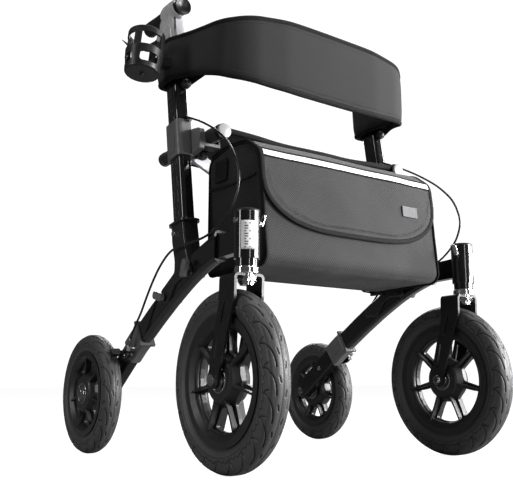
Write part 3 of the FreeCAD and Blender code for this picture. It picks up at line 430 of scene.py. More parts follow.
def brushed(name, colour, roughness, stretch=(1, 1, 0.03)):
    """Brushed or ground metal with fine lines along one direction."""
    s = Shader(name)
    lines = s.noise(900, 3, stretch)
    broad = s.noise(20, 3)
    tone = s.mix(s.ranged(lines, 0, 1), shade(colour, 0.8), shade(colour, 1.12))
    tone = s.mix(s.ranged(broad, 0, 0.35), tone, shade(colour, 0.7))
    gloss = s.ranged(lines, roughness * 0.7, roughness * 1.4)
    normal = s.bump(lines, 0.00004, 0.5)
    return s.finish(tone, gloss, normal, metallic=1.0)


def rubber(name, colour, roughness, grain=600, depth=0.00008, dust=0.35, grooves=False):
    """Rubber: fine grain, dull dusty patches on the raised parts, and painted shade in moulded grooves."""
    s = Shader(name)
    fine = s.noise(grain, 4)
    broad = s.noise(9, 5)
    dusty = s.ranged(broad, 0, dust, 0.4, 0.75)
    tone = s.mix(dusty, colour, shade(colour, 1.9))
    tone = s.mix(s.ranged(fine, 0, 0.5), tone, shade(colour, 0.6))
    if grooves:
        # painted shade: grooves are darkened to near black from the tyre's per-point groove depth
        groove_shade_attribute = s.node("ShaderNodeAttribute", {"attribute_name": "groove_shade"})
        tone = s.mix(groove_shade_attribute.outputs["Fac"], tone, shade(colour, 0.06))
    gloss = s.ranged(fine, roughness - 0.08, roughness + 0.12)
    return s.finish(tone, gloss, s.bump(fine, depth, 0.8), specular=0.4)


def woven(name, colour, pitch=0.0026, depth=0.00035, contrast=0.45, roughness=0.85, sheen=0.15, where="UV"):
    """Woven cloth: two crossing sets of yarns over UVs in metres, with fuzz, slubs and uneven dye."""
    s = Shader(name)
    source = s.place.outputs[where]
    waves = []
    for turn in (45, -45):
        mapping = s.node("ShaderNodeMapping")
        mapping.inputs["Rotation"].default_value = (0, 0, math.radians(turn))
        kind = {"wave_type": "BANDS", "bands_direction": "X"}
        wave = s.node("ShaderNodeTexWave", kind, Scale=0.314 / pitch)
        wave.inputs["Distortion"].default_value = 0.6
        wave.inputs["Detail"].default_value = 1.0
        wave.inputs["Detail Scale"].default_value = 2.0
        s.link(source, mapping.inputs["Vector"])
        s.link(mapping.outputs["Vector"], wave.inputs["Vector"])
        waves.append(wave.outputs["Fac"])
    yarns = s.math("MULTIPLY", waves[0], waves[1])
    slub = s.noise(260, 4, where=where)
    broad = s.noise(7, 4)
    height = s.math("ADD", yarns, s.math("MULTIPLY", slub, 0.35))
    tone = s.mix(yarns, shade(colour, 1 - contrast), shade(colour, 1 + contrast))
    tone = s.mix(s.ranged(broad, 0, 0.4), tone, shade(colour, 0.72))
    gloss = s.ranged(slub, roughness - 0.08, roughness + 0.08)
    return s.finish(tone, gloss, s.bump(height, depth, 0.9), specular=0.25, sheen=sheen)


def beaded_strip(name, colour):
    """Retro-reflective tape: pale, faintly honeycombed, with a painted glow from a faint white emission."""
    s = Shader(name)
    cells = s.node("ShaderNodeTexVoronoi", {"feature": "DISTANCE_TO_EDGE"}, Scale=520)
    s.link(s.place.outputs["Object"], cells.inputs["Vector"])
    edge = s.ranged(cells.outputs["Distance"], 0, 1, 0.0, 0.12)
    tone = s.mix(edge, shade(colour, 0.8), colour)
    gloss = s.ranged(s.noise(80), 0.3, 0.42)
    # painted glow: a faint white emission brightens the tape beyond what the lamps give it
    s.shader.inputs["Emission Color"].default_value = (1, 1, 1, 1)
    s.shader.inputs["Emission Strength"].default_value = 0.22
    return s.finish(tone, gloss, s.bump(edge, 0.00005, 0.5), specular=0.6, coat=0.2)


BLACK = (0.0075, 0.0075, 0.008)
MATERIALS = {
    "tyre": rubber("tyre_rubber", (0.060, 0.060, 0.062), 0.46, grooves=True),
    "rim": hard("rim_plastic", (0.015, 0.015, 0.016), 0.40, peel=0.00004, peel_scale=700),
    "bearing_steel": brushed("bearing_steel", (0.22, 0.22, 0.23), 0.3, (1, 1, 1)),
    # edge=9 paints bright highlight lines along the fork's edges
    "fork_black": hard("fork_powder_coat", (0.008, 0.008, 0.0085), 0.32, peel=0.00005, peel_scale=700, edge=9),
    "chrome_hardware": hard("chrome", (0.80, 0.80, 0.82), 0.09, metallic=1.0, edge=1.1),
    "frame_black": hard("frame_gloss_black", BLACK, 0.10, coat=0.6, peel=0.00001, peel_scale=300),
    "trim_black": hard("trim_plastic", (0.008, 0.008, 0.008), 0.40, peel=0.00006, peel_scale=1100),
    "rear_leg_black": hard("rear_leg_satin", (0.0065, 0.0065, 0.007), 0.24, peel=0.00003, peel_scale=700),
    "grey_plastic": hard("grey_plastic", (0.105, 0.105, 0.108), 0.38, peel=0.00008, peel_scale=1300),
    "bracket_grey": hard("bracket_powder_coat", (0.018, 0.018, 0.019), 0.28, peel=0.00004, peel_scale=800),
    "knob_grey": hard("knob_plastic", (0.13, 0.13, 0.135), 0.42, peel=0.00008, peel_scale=1300),
    "stem_aluminium": brushed("stem_aluminium", (0.50, 0.50, 0.52), 0.25),
    "silver_plastic": hard("silver_lacquer", (0.44, 0.44, 0.45), 0.28, peel=0.00002, coat=0.4),
    "grip_rubber": rubber("grip_rubber", (0.008, 0.008, 0.008), 0.34, 900, 0.00005, 0.1),
    "lever_black": hard("lever_satin", (0.009, 0.009, 0.009), 0.24),
    "cable_black": hard("cable_sheath", (0.014, 0.014, 0.015), 0.16, peel=0.00001, bevel=0.0003),
    "brace_silver": brushed("brace_aluminium", (0.52, 0.52, 0.54), 0.32, (1, 0.03, 1)),
    "seat_fabric": woven("seat_cloth", (0.0065, 0.0065, 0.007), 0.0016, 0.0002, 0.5),
    "bag_fabric": woven("bag_cloth_black", (0.0032, 0.0032, 0.0034), 0.0018, 0.0002, 0.5),
    "band_fabric": woven("band_cloth", (0.018, 0.018, 0.0195), 0.0014, 0.00018, 0.35),
    "cup_plastic": hard("cup_plastic", (0.0095, 0.0095, 0.010), 0.38, peel=0.00008, peel_scale=1200),
}
BAG_FRONT = woven("bag_cloth_grey", (0.047, 0.047, 0.049), 0.0036, 0.0004, 0.62)
BINDING = woven("binding_tape", (0.0050, 0.0050, 0.0053), 0.0011, 0.00015, 0.4, sheen=0.0)
FLAP_BINDING = woven("flap_binding_tape", (0.0055, 0.0055, 0.0058), 0.0011, 0.00015, 0.4, sheen=0.0)
THREAD = woven("thread", (0.006, 0.006, 0.006), 0.0008, 0.0001, 0.3, where="Object")
REFLECTIVE = beaded_strip("reflective_tape", (0.90, 0.90, 0.92))
LABEL = hard("label_film", (0.85, 0.85, 0.85), 0.3, edge=1.0)
INK = hard("label_ink", (0.01, 0.01, 0.01), 0.4, edge=1.0)
CAP_GREY = hard("cap_plastic", (0.34, 0.34, 0.35), 0.36, peel=0.00008, peel_scale=1300)
PATCH = woven("patch_cloth", (0.19, 0.19, 0.195), 0.0009, 0.0001, 0.25)
SEAM = hard("seam_shadow", (0.012, 0.012, 0.012), 0.5, edge=1.0)

for entry in frame["record"]["subparts"]:
    mesh = NODES[entry["node"]].data
    mesh.materials.clear()
    mesh.materials.append(MATERIALS[entry["material_slot"]])


def dress(piece, body, slot, material=None):
    """Gives a piece its body and its material, the slot's own one unless another is given."""
    piece.data.materials.clear()
    piece.data.materials.append(material or MATERIALS[slot])
    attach(piece, body)
    return piece


# ---- tyres ----


def tread_lines(pitch, half):
    """One pitch of one half's grooves, as (points round and across in metres, half width, depth)."""
    hook = []
    for q in np.linspace(0, 1, 15):
        bend = q * math.pi / 2
        hook.append((1.02 * pitch * (1 - math.cos(bend)), half * (0.97 - 0.66 * math.sin(bend))))
    spur = [(0.02 * pitch, 0.97 * half), (-0.10 * pitch, 0.86 * half), (-0.16 * pitch, 0.66 * half)]
    scallop = [(0.0, 1.0), (0.30, 0.90), (0.36, 1.02), (0.62, 0.94), (0.70, 1.06), (1.0, 1.0)]
    scallop = [(a * pitch, b * half) for a, b in scallop]
    dash = [(0.36 * pitch, 0.19 * half), (0.56 * pitch, 0.13 * half)]
    return [(hook, 0.0008, 0.0016), (spur, 0.0008, 0.0016), (scallop, 0.0006, 0.0012), (dash, 0.0010, 0.0014)]


def tread_cut(round_way, across, pitch, half):
    """How deep the tread is cut at each point of one pitch, from the distance to its nearest grooves."""
    depth = np.zeros_like(across)
    for side, shift in ((1, 0.0), (-1, 0.5)):
        for line, wide, deep in tread_lines(pitch, half):
            for repeat in (-2, -1, 0, 1):
                for (a0, b0), (a1, b1) in zip(line, line[1:]):
                    start = (a0 + (repeat + shift) * pitch, b0 * side)
                    step = (a1 - a0, (b1 - b0) * side)
                    reached = (round_way - start[0]) * step[0] + (across - start[1]) * step[1]
                    along = np.clip(reached / (step[0] ** 2 + step[1] ** 2), 0, 1)
                    gap = (round_way - start[0] - along * step[0], across - start[1] - along * step[1])
                    off = np.hypot(*gap)
                    depth = np.maximum(depth, np.clip(1.6 - off / wide, 0, 1) * deep)
    return depth


TYRE_ROWS = 40  # along one pitch of the tread
TYRE_COLUMNS = 108  # from bead to bead


def ridge(across, place, width):
    """A smooth ridge of height 1 at a place across the tyre."""
    return np.exp(-(((across - place) / width) ** 2))


def tyre(name, centre, radius, half, rim, blocks):
    """A pneumatic tyre with moulded tread grooves, shoulder ribs and a bead, standing on the floor."""
    rows = TYRE_ROWS
    bead = half * 0.68
    right = [
        (half * 0.34, radius, 0.014),
        (half * 0.86, radius - 0.006, 0.010),
        (half, rim + 0.42 * (radius - rim), 0.009),
        (bead + 0.0005, rim + 0.006, 0.003),
        (bead, rim + 0.0004, 0),
    ]
    corners = [(-x, z, fillet) for x, z, fillet in right[::-1]] + right
    profile, length = rounded_path(corners, TYRE_COLUMNS)
    out = normals_2d(profile, False)
    along = np.linspace(-1, 1, len(profile))
    pitch = 2 * math.pi * radius / blocks
    round_way, across = np.meshgrid(np.arange(rows) * pitch / rows, along * length / 2, indexing="ij")
    cut = tread_cut(round_way, across, pitch, 0.60 * length / 2)
    centre_line = ridge(along, 0, 0.011) * 0.0009
    rings = sum(ridge(np.abs(along), place, 0.007) for place in (0.70, 0.90)) * 0.0009
    cut = np.maximum(cut, np.maximum(centre_line, rings)[None, :])
    # painted shade for the grooves, from how deep each point is cut, read by the tyre material
    groove_shade = np.tile(np.clip(cut / 0.0011, 0, 1), (blocks, 1))
    raised = sum(ridge(np.abs(along), place, 0.010) for place in (0.735, 0.87)) * 0.0006
    cut = np.tile(cut - raised[None, :], (blocks, 1))
    turn = (np.arange(rows * blocks) * 2 * math.pi / (rows * blocks))[:, None]
    x = profile[None, :, 0] - out[None, :, 0] * cut
    r = profile[None, :, 1] - out[None, :, 1] * cut
    points = np.stack([x, r * np.cos(turn), r * np.sin(turn)], axis=-1).reshape(-1, 3) + np.array(centre)
    u = np.broadcast_to(turn * radius, x.shape)
    v = np.broadcast_to(along * length / 2, x.shape)
    uvs = np.stack([u, v], axis=-1).reshape(-1, 2)
    faces = grid_faces(rows * blocks, len(profile), wrap_rows=True, wrap_columns=True)
    made = mesh_object(name, points, faces, uvs)
    layer = made.data.attributes.new("groove_shade", "FLOAT", "POINT")
    layer.data.foreach_set("value", groove_shade.ravel().astype(np.float32))
    return made


HUB_HALF = 0.020

for side, sign in SIDES.items():
    for end, blocks in (("front", 22), ("rear", 18)):
        low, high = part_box(f"{end}_tyre_{side}")
        centre = [(a + b) / 2 for a, b in zip(low, high)]
        radius = (high[2] - low[2]) / 2
        half = (high[0] - low[0]) / 2
        rim_low, rim_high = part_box(f"{end}_rim_{side}")
        rim = (rim_high[2] - rim_low[2]) / 2 - 0.004
        piece = tyre(f"{end}_tyre_tread_{side}", centre, radius, half, rim, blocks)
        dress(piece, f"{end}_wheel_{side}", "tyre")
        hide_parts(f"{end}_tyre_{side}")
        for face in (-1, 1):
            x = centre[0] + face * (HUB_HALF + 0.0002)
            for radius_name, ring_radius in (("seat", 0.0205), ("shield", 0.0115)):
                loop = [
                    Vector((x, centre[1] + ring_radius * math.cos(a), centre[2] + ring_radius * math.sin(a)))
                    for a in np.linspace(0, 2 * math.pi, 61)[:-1]
                ]
                ring_name = f"{end}_bearing_{radius_name}_{side}_{'in' if face * sign < 0 else 'out'}"
                ring = tube(ring_name, loop, 0.0005, closed=True, sides=8, up=(1, 0, 0))
                dress(ring, f"{end}_wheel_{side}", "bearing_steel", MATERIALS["chrome_hardware"])


# ---- bag ----

BAG_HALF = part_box("bag")[1][0]
BAG_OUTLINE = [
    (0.1585, 0.3465, 0.016),
    (0.1585, 0.578, 0.022),
    (0.096, 0.5905, 0.060),
    (0.028, 0.5865, 0.040),
    (-0.0145, 0.557, 0.030),
    (-0.0345, 0.3505, 0.020),
]
BAG_RING, BAG_GIRTH = rounded_path(BAG_OUTLINE, 220, closed=True)
BAG_NORMALS = normals_2d(BAG_RING, True)
if (BAG_NORMALS[0] @ (BAG_RING[0, :2] - BAG_RING[:, :2].mean(axis=0))) < 0:
    BAG_NORMALS = -BAG_NORMALS


def bag_sag(x, y, z):
    """How far the bag's cloth stands out or in at a place: a full middle, loose folds and a heavy bottom."""
    side = 1 - (x / BAG_HALF) ** 2
    middle = math.exp(-(((z - 0.44) / 0.10) ** 2))
    full = 0.0035 * side * middle
    folds = wobble(x * 9, y * 6, z * 14) * 0.0020
    crease = wobble(x * 26 + 7, y * 14, z * 30) * 0.0007
    return full + folds + crease


def bag_point(x, s, lift=0.0):
    """A point of the bag's skin at width x and share s of its girth, raised by lift."""
    place = (s % 1.0) * len(BAG_RING)
    i = int(place) % len(BAG_RING)
    j = (i + 1) % len(BAG_RING)
    t = place - int(place)
    y, z = BAG_RING[i, :2] * (1 - t) + BAG_RING[j, :2] * t
    ny, nz = BAG_NORMALS[i] * (1 - t) + BAG_NORMALS[j] * t
    rise = lift + bag_sag(x, y, z) * (0.15 if y > 0.12 else 1.0)
    return Vector((x, y + ny * rise, z + nz * rise))


def bag_share(z_wanted):
    """The share of the girth where the bag's front face is at a height."""
    front = [k for k in range(len(BAG_RING)) if BAG_RING[k, 0] < 0.02 and BAG_RING[k, 1] < 0.575]
    best = min(front, key=lambda k: abs(BAG_RING[k, 1] - z_wanted))
    return best / len(BAG_RING)


SIDE_RINGS = 13


def bag_body():
    """The bag's shell: its girth swept from side to side, with rounded side seams and full side panels."""
    seam = 0.009
    turns = np.linspace(0, math.pi / 2, 7)
    first = [(-BAG_HALF + seam * (1 - math.cos(t)), -seam * (1 - math.sin(t))) for t in turns]
    middle = [(x, 0.0) for x in np.linspace(-BAG_HALF + seam, BAG_HALF - seam, 60)[1:-1]]
    last = [(-x, inset) for x, inset in first[::-1]]
    stations = first + middle + last
    count = len(BAG_RING)
    points = []
    uvs = []
    for x, inset in stations:
        for j in range(count):
            points.append(bag_point(x, j / count, inset))
            uvs.append((x, j / count * BAG_GIRTH))
    faces = grid_faces(len(stations), count, wrap_columns=True)
    # side panels: rings drawn in towards the panel's middle, swelling a little
    for sign, base in ((-1, 0), (1, (len(stations) - 1) * count)):
        edge = [points[base + j] for j in range(count)]
        middle_point = sum(edge, Vector()) / count
        previous = base
        for step in range(1, SIDE_RINGS):
            share = step / SIDE_RINGS
            swell = sign * 0.004 * math.sin(min(1.0, share * 1.6) * math.pi / 2)
            start = len(points)
            for j in range(count):
                inward = edge[j].lerp(middle_point, share)
                fold = wobble(inward.y * 16 + sign * 3, 0, inward.z * 13) * 0.002
                points.append(inward + Vector((swell + sign * fold * min(1, share * 4), 0, 0)))
                uvs.append((inward.y, inward.z))
            for j in range(count):
                quad = (previous + j, previous + (j + 1) % count, start + (j + 1) % count, start + j)
                faces.append(quad if sign > 0 else quad[::-1])
            previous = start
        points.append(middle_point + Vector((sign * 0.004, 0, 0)))
        uvs.append((middle_point.y, middle_point.z))
        for j in range(count):
            triangle = (previous + j, previous + (j + 1) % count, len(points) - 1)
            faces.append(triangle if sign > 0 else triangle[::-1])
    return mesh_object("bag_body", points, faces, uvs)


FLAP_HALF = BAG_HALF - 0.002
FLAP_START = 0.30
FLAP_LOW = 0.420
FLAP_RISE = 0.090


def flap_end(x):
    """The height of the flap's edge at a width: low in the middle, rounded up at both sides."""
    t = min(1.0, (abs(x) / FLAP_HALF)) ** 1.7
    return FLAP_LOW + FLAP_RISE * (1 - math.sqrt(max(0.0, 1 - t * t)))


FLAP_HEIGHTS = list(np.linspace(0.40, 0.54, 40))
FLAP_SHARES = [bag_share(z) for z in FLAP_HEIGHTS]


def share_at(z):
    """The girth share of the front face at a height, evenly interpolated."""
    return float(np.interp(z, FLAP_HEIGHTS, FLAP_SHARES))


def bag_flap():
    """The flap: over the top and down the front to its curved edge, a little proud of the bag."""
    thick = 0.0022

    def front_point(u, v, lift):
        x = (2 * u - 1) * FLAP_HALF
        end = share_at(flap_end(x))
        ripple = wobble(x * 7 + 20, v * 3, 0) * 0.0016 * v
        return bag_point(x, FLAP_START + (end - FLAP_START) * v, 0.0026 + lift + ripple)

    rows, columns = 90, 70
    points = []
    uvs = []
    for lift in (thick, 0.0):
        for i in range(rows):
            for j in range(columns):
                u = i / (rows - 1)
                v = j / (columns - 1)
                points.append(front_point(u, v, lift))
                x = (2 * u - 1) * FLAP_HALF
                end = share_at(flap_end(x))
                uvs.append((x, (FLAP_START + (end - FLAP_START) * v) * BAG_GIRTH))
    top = grid_faces(rows, columns)
    under = [tuple(k + rows * columns for k in face[::-1]) for face in top]
    rim = [i * columns for i in range(rows)] + [(rows - 1) * columns + j for j in range(1, columns)]
    rim += [i * columns + columns - 1 for i in range(rows - 2, -1, -1)] + list(range(columns - 2, 0, -1))
    walls = []
    for k, a in enumerate(rim):
        b = rim[(k + 1) % len(rim)]
        walls.append((a, a + rows * columns, b + rows * columns, b))
    made = mesh_object("bag_flap", points, top + under + walls, uvs)
    edge = [front_point(0.0, v, 0.0014) for v in np.linspace(0.05, 1, 60)]
    edge += [front_point(u, 1.0, 0.0014) for u in np.linspace(0, 1, 120)[1:-1]]
    edge += [front_point(1.0, v, 0.0014) for v in np.linspace(1, 0.05, 60)]
    return made, edge


def girth_normal(point):
    """The bag's outward normal nearest to a point of its girth."""
    offsets = BAG_RING[:, :2] - np.array([point[1], point[2]])
    k = int(np.argmin((offsets**2).sum(axis=1)))
    return Vector((0, BAG_NORMALS[k, 0], BAG_NORMALS[k, 1]))


def on_bag(piece, material):
    """Dresses a piece that is sewn to the bag."""
    return dress(piece, "side_left", "bag_fabric", material)


def sewn_on_bag(name, line):
    """A row of stitches on the bag's skin."""
    return on_bag(stitches(name, line, [girth_normal(p) for p in line]), THREAD)


def bag():
    """The storage bag with its flap, bindings, reflective strip, side hoods, tabs and seams."""
    made = []
    body = bag_body()
    body.data.materials.append(BAG_FRONT)
    body.data.materials.append(MATERIALS["bag_fabric"])
    for face in body.data.polygons:
        centre = face.center
        sideways = abs(face.normal.x) > 0.75
        front = face.normal.y < -0.35 or (face.normal.z < -0.3 and centre.z < 0.42)
        face.material_index = 1 if sideways or not front else 0
    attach(body, "side_left")
    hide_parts("bag")
    made.append(body)

    flap, edge = bag_flap()
    made.append(on_bag(flap, BAG_FRONT))
    tape = ribbon("bag_flap_binding", edge, lambda i: girth_normal(edge[i]), 0.0095, 0.0044)
    made.append(on_bag(tape, FLAP_BINDING))

    strip_low, strip_high = share_of_front(0.5495), share_of_front(0.5600)
    for name, low, high, material, lift in (
        ("bag_reflective_strip", strip_low, strip_high, REFLECTIVE, 0.0062),
        ("bag_strip_tape_low", share_of_front(0.5465), strip_low, BINDING, 0.0064),
        ("bag_strip_tape_high", strip_high, share_of_front(0.5630), BINDING, 0.0064),
    ):
        piece = band_on_bag(name, low, high, lift)
        made.append(on_bag(piece, material))

    for sign in (-1, 1):
        name = "left" if sign < 0 else "right"
        rim = [bag_point(sign * (BAG_HALF - 0.0025), k / 220, 0.0005) for k in range(0, 221)]
        piping = tube(f"bag_piping_{name}", rim[:-1], 0.0026, closed=True, up=(1, 0, 0))
        made.append(on_bag(piping, BINDING))
        made += bag_side(sign, name)

    seam_line = [bag_point(x, share_of_front(0.3585), 0.0012) for x in np.linspace(-0.206, 0.206, 90)]
    made.append(sewn_on_bag("bag_bottom_stitch", seam_line))
    for inset, name in ((0.0105, "a"), (0.0125, "b")):
        narrowed = 1 - inset / FLAP_HALF
        raised = inset / BAG_GIRTH
        lines = [bag_point(narrowed * p.x, share_of_point(p) - raised, 0.0066) for p in edge[58:180]]
        made.append(sewn_on_bag(f"bag_flap_stitch_{name}", lines))
    patch = grid("bag_plain_patch", patch_point, 26, 14)
    thicken(patch, 0.0012)
    made.append(on_bag(patch, PATCH))
    return made


def share_of_point(point):
    """The girth share nearest to a point."""
    offsets = BAG_RING[:, :2] - np.array([point[1], point[2]])
    return int(np.argmin((offsets**2).sum(axis=1))) / len(BAG_RING)


def share_of_front(z):
    """The girth share of the front face at a height, from the ring itself."""
    keep = [k for k in range(len(BAG_RING)) if BAG_RING[k, 0] < 0.0 and BAG_RING[k, 1] < 0.574]
    keep.sort(key=lambda k: BAG_RING[k, 1])
    return float(np.interp(z, [BAG_RING[k, 1] for k in keep], [k / len(BAG_RING) for k in keep]))


def band_on_bag(name, low, high, lift):
    """A flat tape across the bag's front between two girth shares."""

    def point(u, v):
        x = (2 * u - 1) * (FLAP_HALF - 0.004)
        edge = 0.0012 if 0.05 < v < 0.95 else 0.0
        return bag_point(x, low + (high - low) * v, lift - 0.0012 + edge)

    return grid(name, point, 80, 9, size=(0.44, 0.012))


def patch_point(u, v):
    """A small plain woven patch on the flap's right half."""
    x = 0.124 + 0.042 * u
    z = 0.478 + 0.022 * v
    return bag_point(x, share_of_front(z), 0.0062)


def bag_side(sign, name):
    """One side panel's hood seam, its stitched tab and the binding round the hood."""
    pieces = []
    x = sign * (BAG_HALF + 0.0045)
    seam_points = [
        Vector((x - sign * 0.0008 * math.cos(t * 6), 0.148 - 0.155 * t, 0.5155 - 0.004 * math.sin(t * math.pi)))
        for t in np.linspace(0, 1, 50)
    ]
    seam = ribbon(f"bag_hood_edge_{name}", seam_points, lambda i: Vector((sign, 0, 0)), 0.005, 0.0028)
    pieces.append(on_bag(seam, BINDING))

    def tab(u, v):
        y = 0.083 + 0.040 * u
        z = 0.524 + 0.042 * v
        return Vector((x + sign * 0.0022, y, z))

    patch = grid(f"bag_tab_{name}", tab, 8, 8, size=(0.04, 0.042))
    thicken(patch, 0.003, 0)
    soften(patch, 0.0008, 2)
    pieces.append(on_bag(patch, BINDING))
    frame_line = [tab(0.08, t) for t in np.linspace(0.08, 0.92, 20)]
    frame_line += [tab(t, 0.92) for t in np.linspace(0.1, 0.92, 20)]
    frame_line += [tab(0.92, t) for t in np.linspace(0.9, 0.08, 20)]
    frame_line += [tab(t, 0.08) for t in np.linspace(0.9, 0.1, 20)]
    lifted = [p + Vector((sign * 0.0017, 0, 0)) for p in frame_line]
    sewn = stitches(f"bag_tab_stitch_{name}", lifted, [Vector((sign, 0, 0))] * len(lifted))
    pieces.append(on_bag(sewn, THREAD))
    return pieces


BAG_PIECES = bag()


# ---- back band ----

BAND_PLAN = [
    (0.2500, 0.120, 0.000, 0.752, 0.831),
    (0.2490, 0.190, 0.020, 0.750, 0.831),
    (0.2530, 0.2500, 0.012, 0.747, 0.832),
    (0.2960, 0.2500, 0.012, 0.743, 0.833),
    (0.2965, 0.1930, 0.030, 0.748, 0.833),
    (0.2720, 0.1430, 0.000, 0.750, 0.835),
    (0.2470, 0.0850, 0.070, 0.735, 0.840),
    (0.2020, 0.0465, 0.090, 0.718, 0.849),
    (0.1200, 0.0365, 0.200, 0.711, 0.858),
]


BAND_CUT = 0.235


def band_path():
    """The band's line in plan from the left post to the right one, with its lower and upper edge heights."""
    left = [(-x, y, r, low, high) for x, y, r, low, high in BAND_PLAN]
    path, length = rounded_path(left + BAND_PLAN[::-1], 380)
    for column in (2, 3):
        values = path[:, column]
        padded = np.concatenate([np.repeat(values[0], 30), values, np.repeat(values[-1], 30)])
        kernel = np.hanning(61)
        path[:, column] = np.convolve(padded, kernel / kernel.sum(), "valid")
    return path, length


def back_band():
    """The padded back band: cloth over foam, bound along its edges and sleeved round both posts."""
    path, length = band_path()
    out = normals_2d(path, False)
    half_thick = 0.0033
    lean = LEAN.y / LEAN.z

    def place(i, height_share, offset):
        x, y, low, high = path[i]
        z = low + (high - low) * height_share
        near_post = min(1.0, max(0.0, (abs(x) - 0.235) / 0.05))
        y = y + near_post * lean * (z - 0.79)
        wave = wobble(x * 5, z * 9, 3) * 0.0022 * (1 - near_post)
        return Vector((x + out[i, 0] * (offset + wave), y + out[i, 1] * (offset + wave), z))

    # a middle, which is returned, and a sleeve round each post
    inside = np.flatnonzero(np.abs(path[:, 0]) < BAND_CUT)
    first, last = int(inside[0]), int(inside[-1])
    middle = []
    for part, low_i, high_i, body in (
        ("left", 0, first, "side_left"),
        ("middle", first, last, "side_left"),
        ("right", last, len(path) - 1, "side_right"),
    ):
        span = range(low_i, high_i + 1)
        sides = 44
        points = []
        uvs = []
        for i in span:
            for turn in turns(sides):
                h = 0.5 + 0.5 * squared(math.cos(turn), 0.45)
                crown = 1 + 0.7 * (1 - (2 * h - 1) ** 4)
                points.append(place(i, h, squared(math.sin(turn), 0.45) * half_thick * crown))
                uvs.append((i / len(path) * length, h * 0.13))
        band = mesh_object(f"back_band_{part}", points, swept_faces(len(span), sides), uvs)
        band.data.set_sharp_from_angle(angle=math.radians(60))
        dress(band, body, "band_fabric")
        if part == "middle":
            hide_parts("backrest")
        made = [band]
        for name, share in (("low", 0.012), ("high", 0.988)):
            line = [place(i, share, 0.0) for i in span]
            edge = tube(f"band_binding_{name}_{part}", line, 0.0050, flat=1.25)
            edge.data.set_sharp_from_angle(angle=math.radians(60))
            made.append(dress(edge, body, "band_fabric", BINDING))
            for face_name, offset in (("front", 1), ("back", -1)):
                inner = share + (0.075 if name == "low" else -0.075)
                sewn = [place(i, inner, offset * (half_thick * 1.5)) for i in span]
                normals = [Vector((out[i, 0] * offset, out[i, 1] * offset, 0)) for i in span]
                row = stitches(f"band_stitch_{name}_{face_name}_{part}", sewn, normals)
                made.append(dress(row, body, "band_fabric", THREAD))
        if part == "middle":
            middle = made
    return middle


BAND_PIECES = back_band()


# ---- seat ----


def seat():
    """The padded sling seat, crowned and quilted, with sleeves that hold it on both rails."""
    low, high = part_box("seat")
    half = high[0]
    top = high[2]
    bottom = low[2]
    front, back = low[1], high[1]
    middle_y = (front + back) / 2
    half_y = (back - front) / 2
    reach = half + 0.012
    sides = 2 * 74
    rows = 120

    def point(u, v):
        x = (2 * u - 1) * reach
        turn = 2 * math.pi * v
        n = math.sin(turn)
        y_share = squared(math.cos(turn), 0.28)
        z_share = squared(n, 0.5)
        across = x / reach
        sag = -0.010 * (1 - across**2) * (1 - 0.25 * y_share**2)
        crown = (1 - y_share**4) * (1 - across**6) * 0.0035
        channel = -0.0022 * sum(math.exp(-(((x - line) / 0.006) ** 2)) for line in (-0.10, 0.0, 0.10))
        thick = (top - bottom) / 2 * 0.92
        raised = (crown + channel * (1 - y_share**6)) * (1 if n > 0 else -0.4)
        z = (top + bottom) / 2 + z_share * thick + sag + raised
        y = middle_y + y_share * (half_y + 0.002 * math.cos(across * 9))
        wrinkle = wobble(x * 12, y * 12, n) * 0.0012
        return Vector((x, y, z + wrinkle))

    pad = grid("seat_pad", point, rows, sides, wrap_columns=True, size=(2 * reach, 0.5), caps=True)
    dress(pad, "rail_left", "seat_fabric")
    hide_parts("seat")
    made = [pad]
    for name, v in (("front", 0.5), ("back", 0.0)):
        line = [point(u, v) for u in np.linspace(0.01, 0.99, 100)]
        edge = tube(f"seat_binding_{name}", line, 0.0034, flat=1.7)
        made.append(dress(edge, "rail_left", "seat_fabric", BINDING))
    for x_line in (-0.10, 0.0, 0.10):
        u = (x_line / reach + 1) / 2
        sewn = [point(u, v) + Vector((0, 0, 0.0004)) for v in np.linspace(0.03, 0.47, 60)]
        row = stitches(f"seat_stitch_{round(x_line * 100) + 10}", sewn, [Vector((0, 0, 1))] * len(sewn))
        made.append(dress(row, "rail_left", "seat_fabric", THREAD))

    for side, sign in SIDES.items():
        radius = 0.0146
        centre_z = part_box(f"seat_rail_{side}")[1][2] - 0.014
        centre_x = sign * RAIL_HALF

        def sleeve_point(u, v):
            y = front + 0.002 + (back - front - 0.004) * u
            # the sleeve opens towards the middle, where the seat's cloth runs out of it
            turn = math.radians(-75 + 300 * v) if sign > 0 else math.radians(255 - 300 * v)
            bulge = 0.0006 * math.sin(y * 160) * (1 if 0.1 < v < 0.9 else 0)
            r = radius + 0.001 + bulge
            return Vector((centre_x + r * math.cos(turn), y, centre_z + r * math.sin(turn)))

        sleeve = grid(f"seat_sleeve_{side}", sleeve_point, 60, 30, size=(0.226, 0.076))
        thicken(sleeve, 0.0016)
        dress(sleeve, f"rail_{side}", "seat_fabric")
    return made


SEAT_PIECES = seat()


# ---- small parts ----


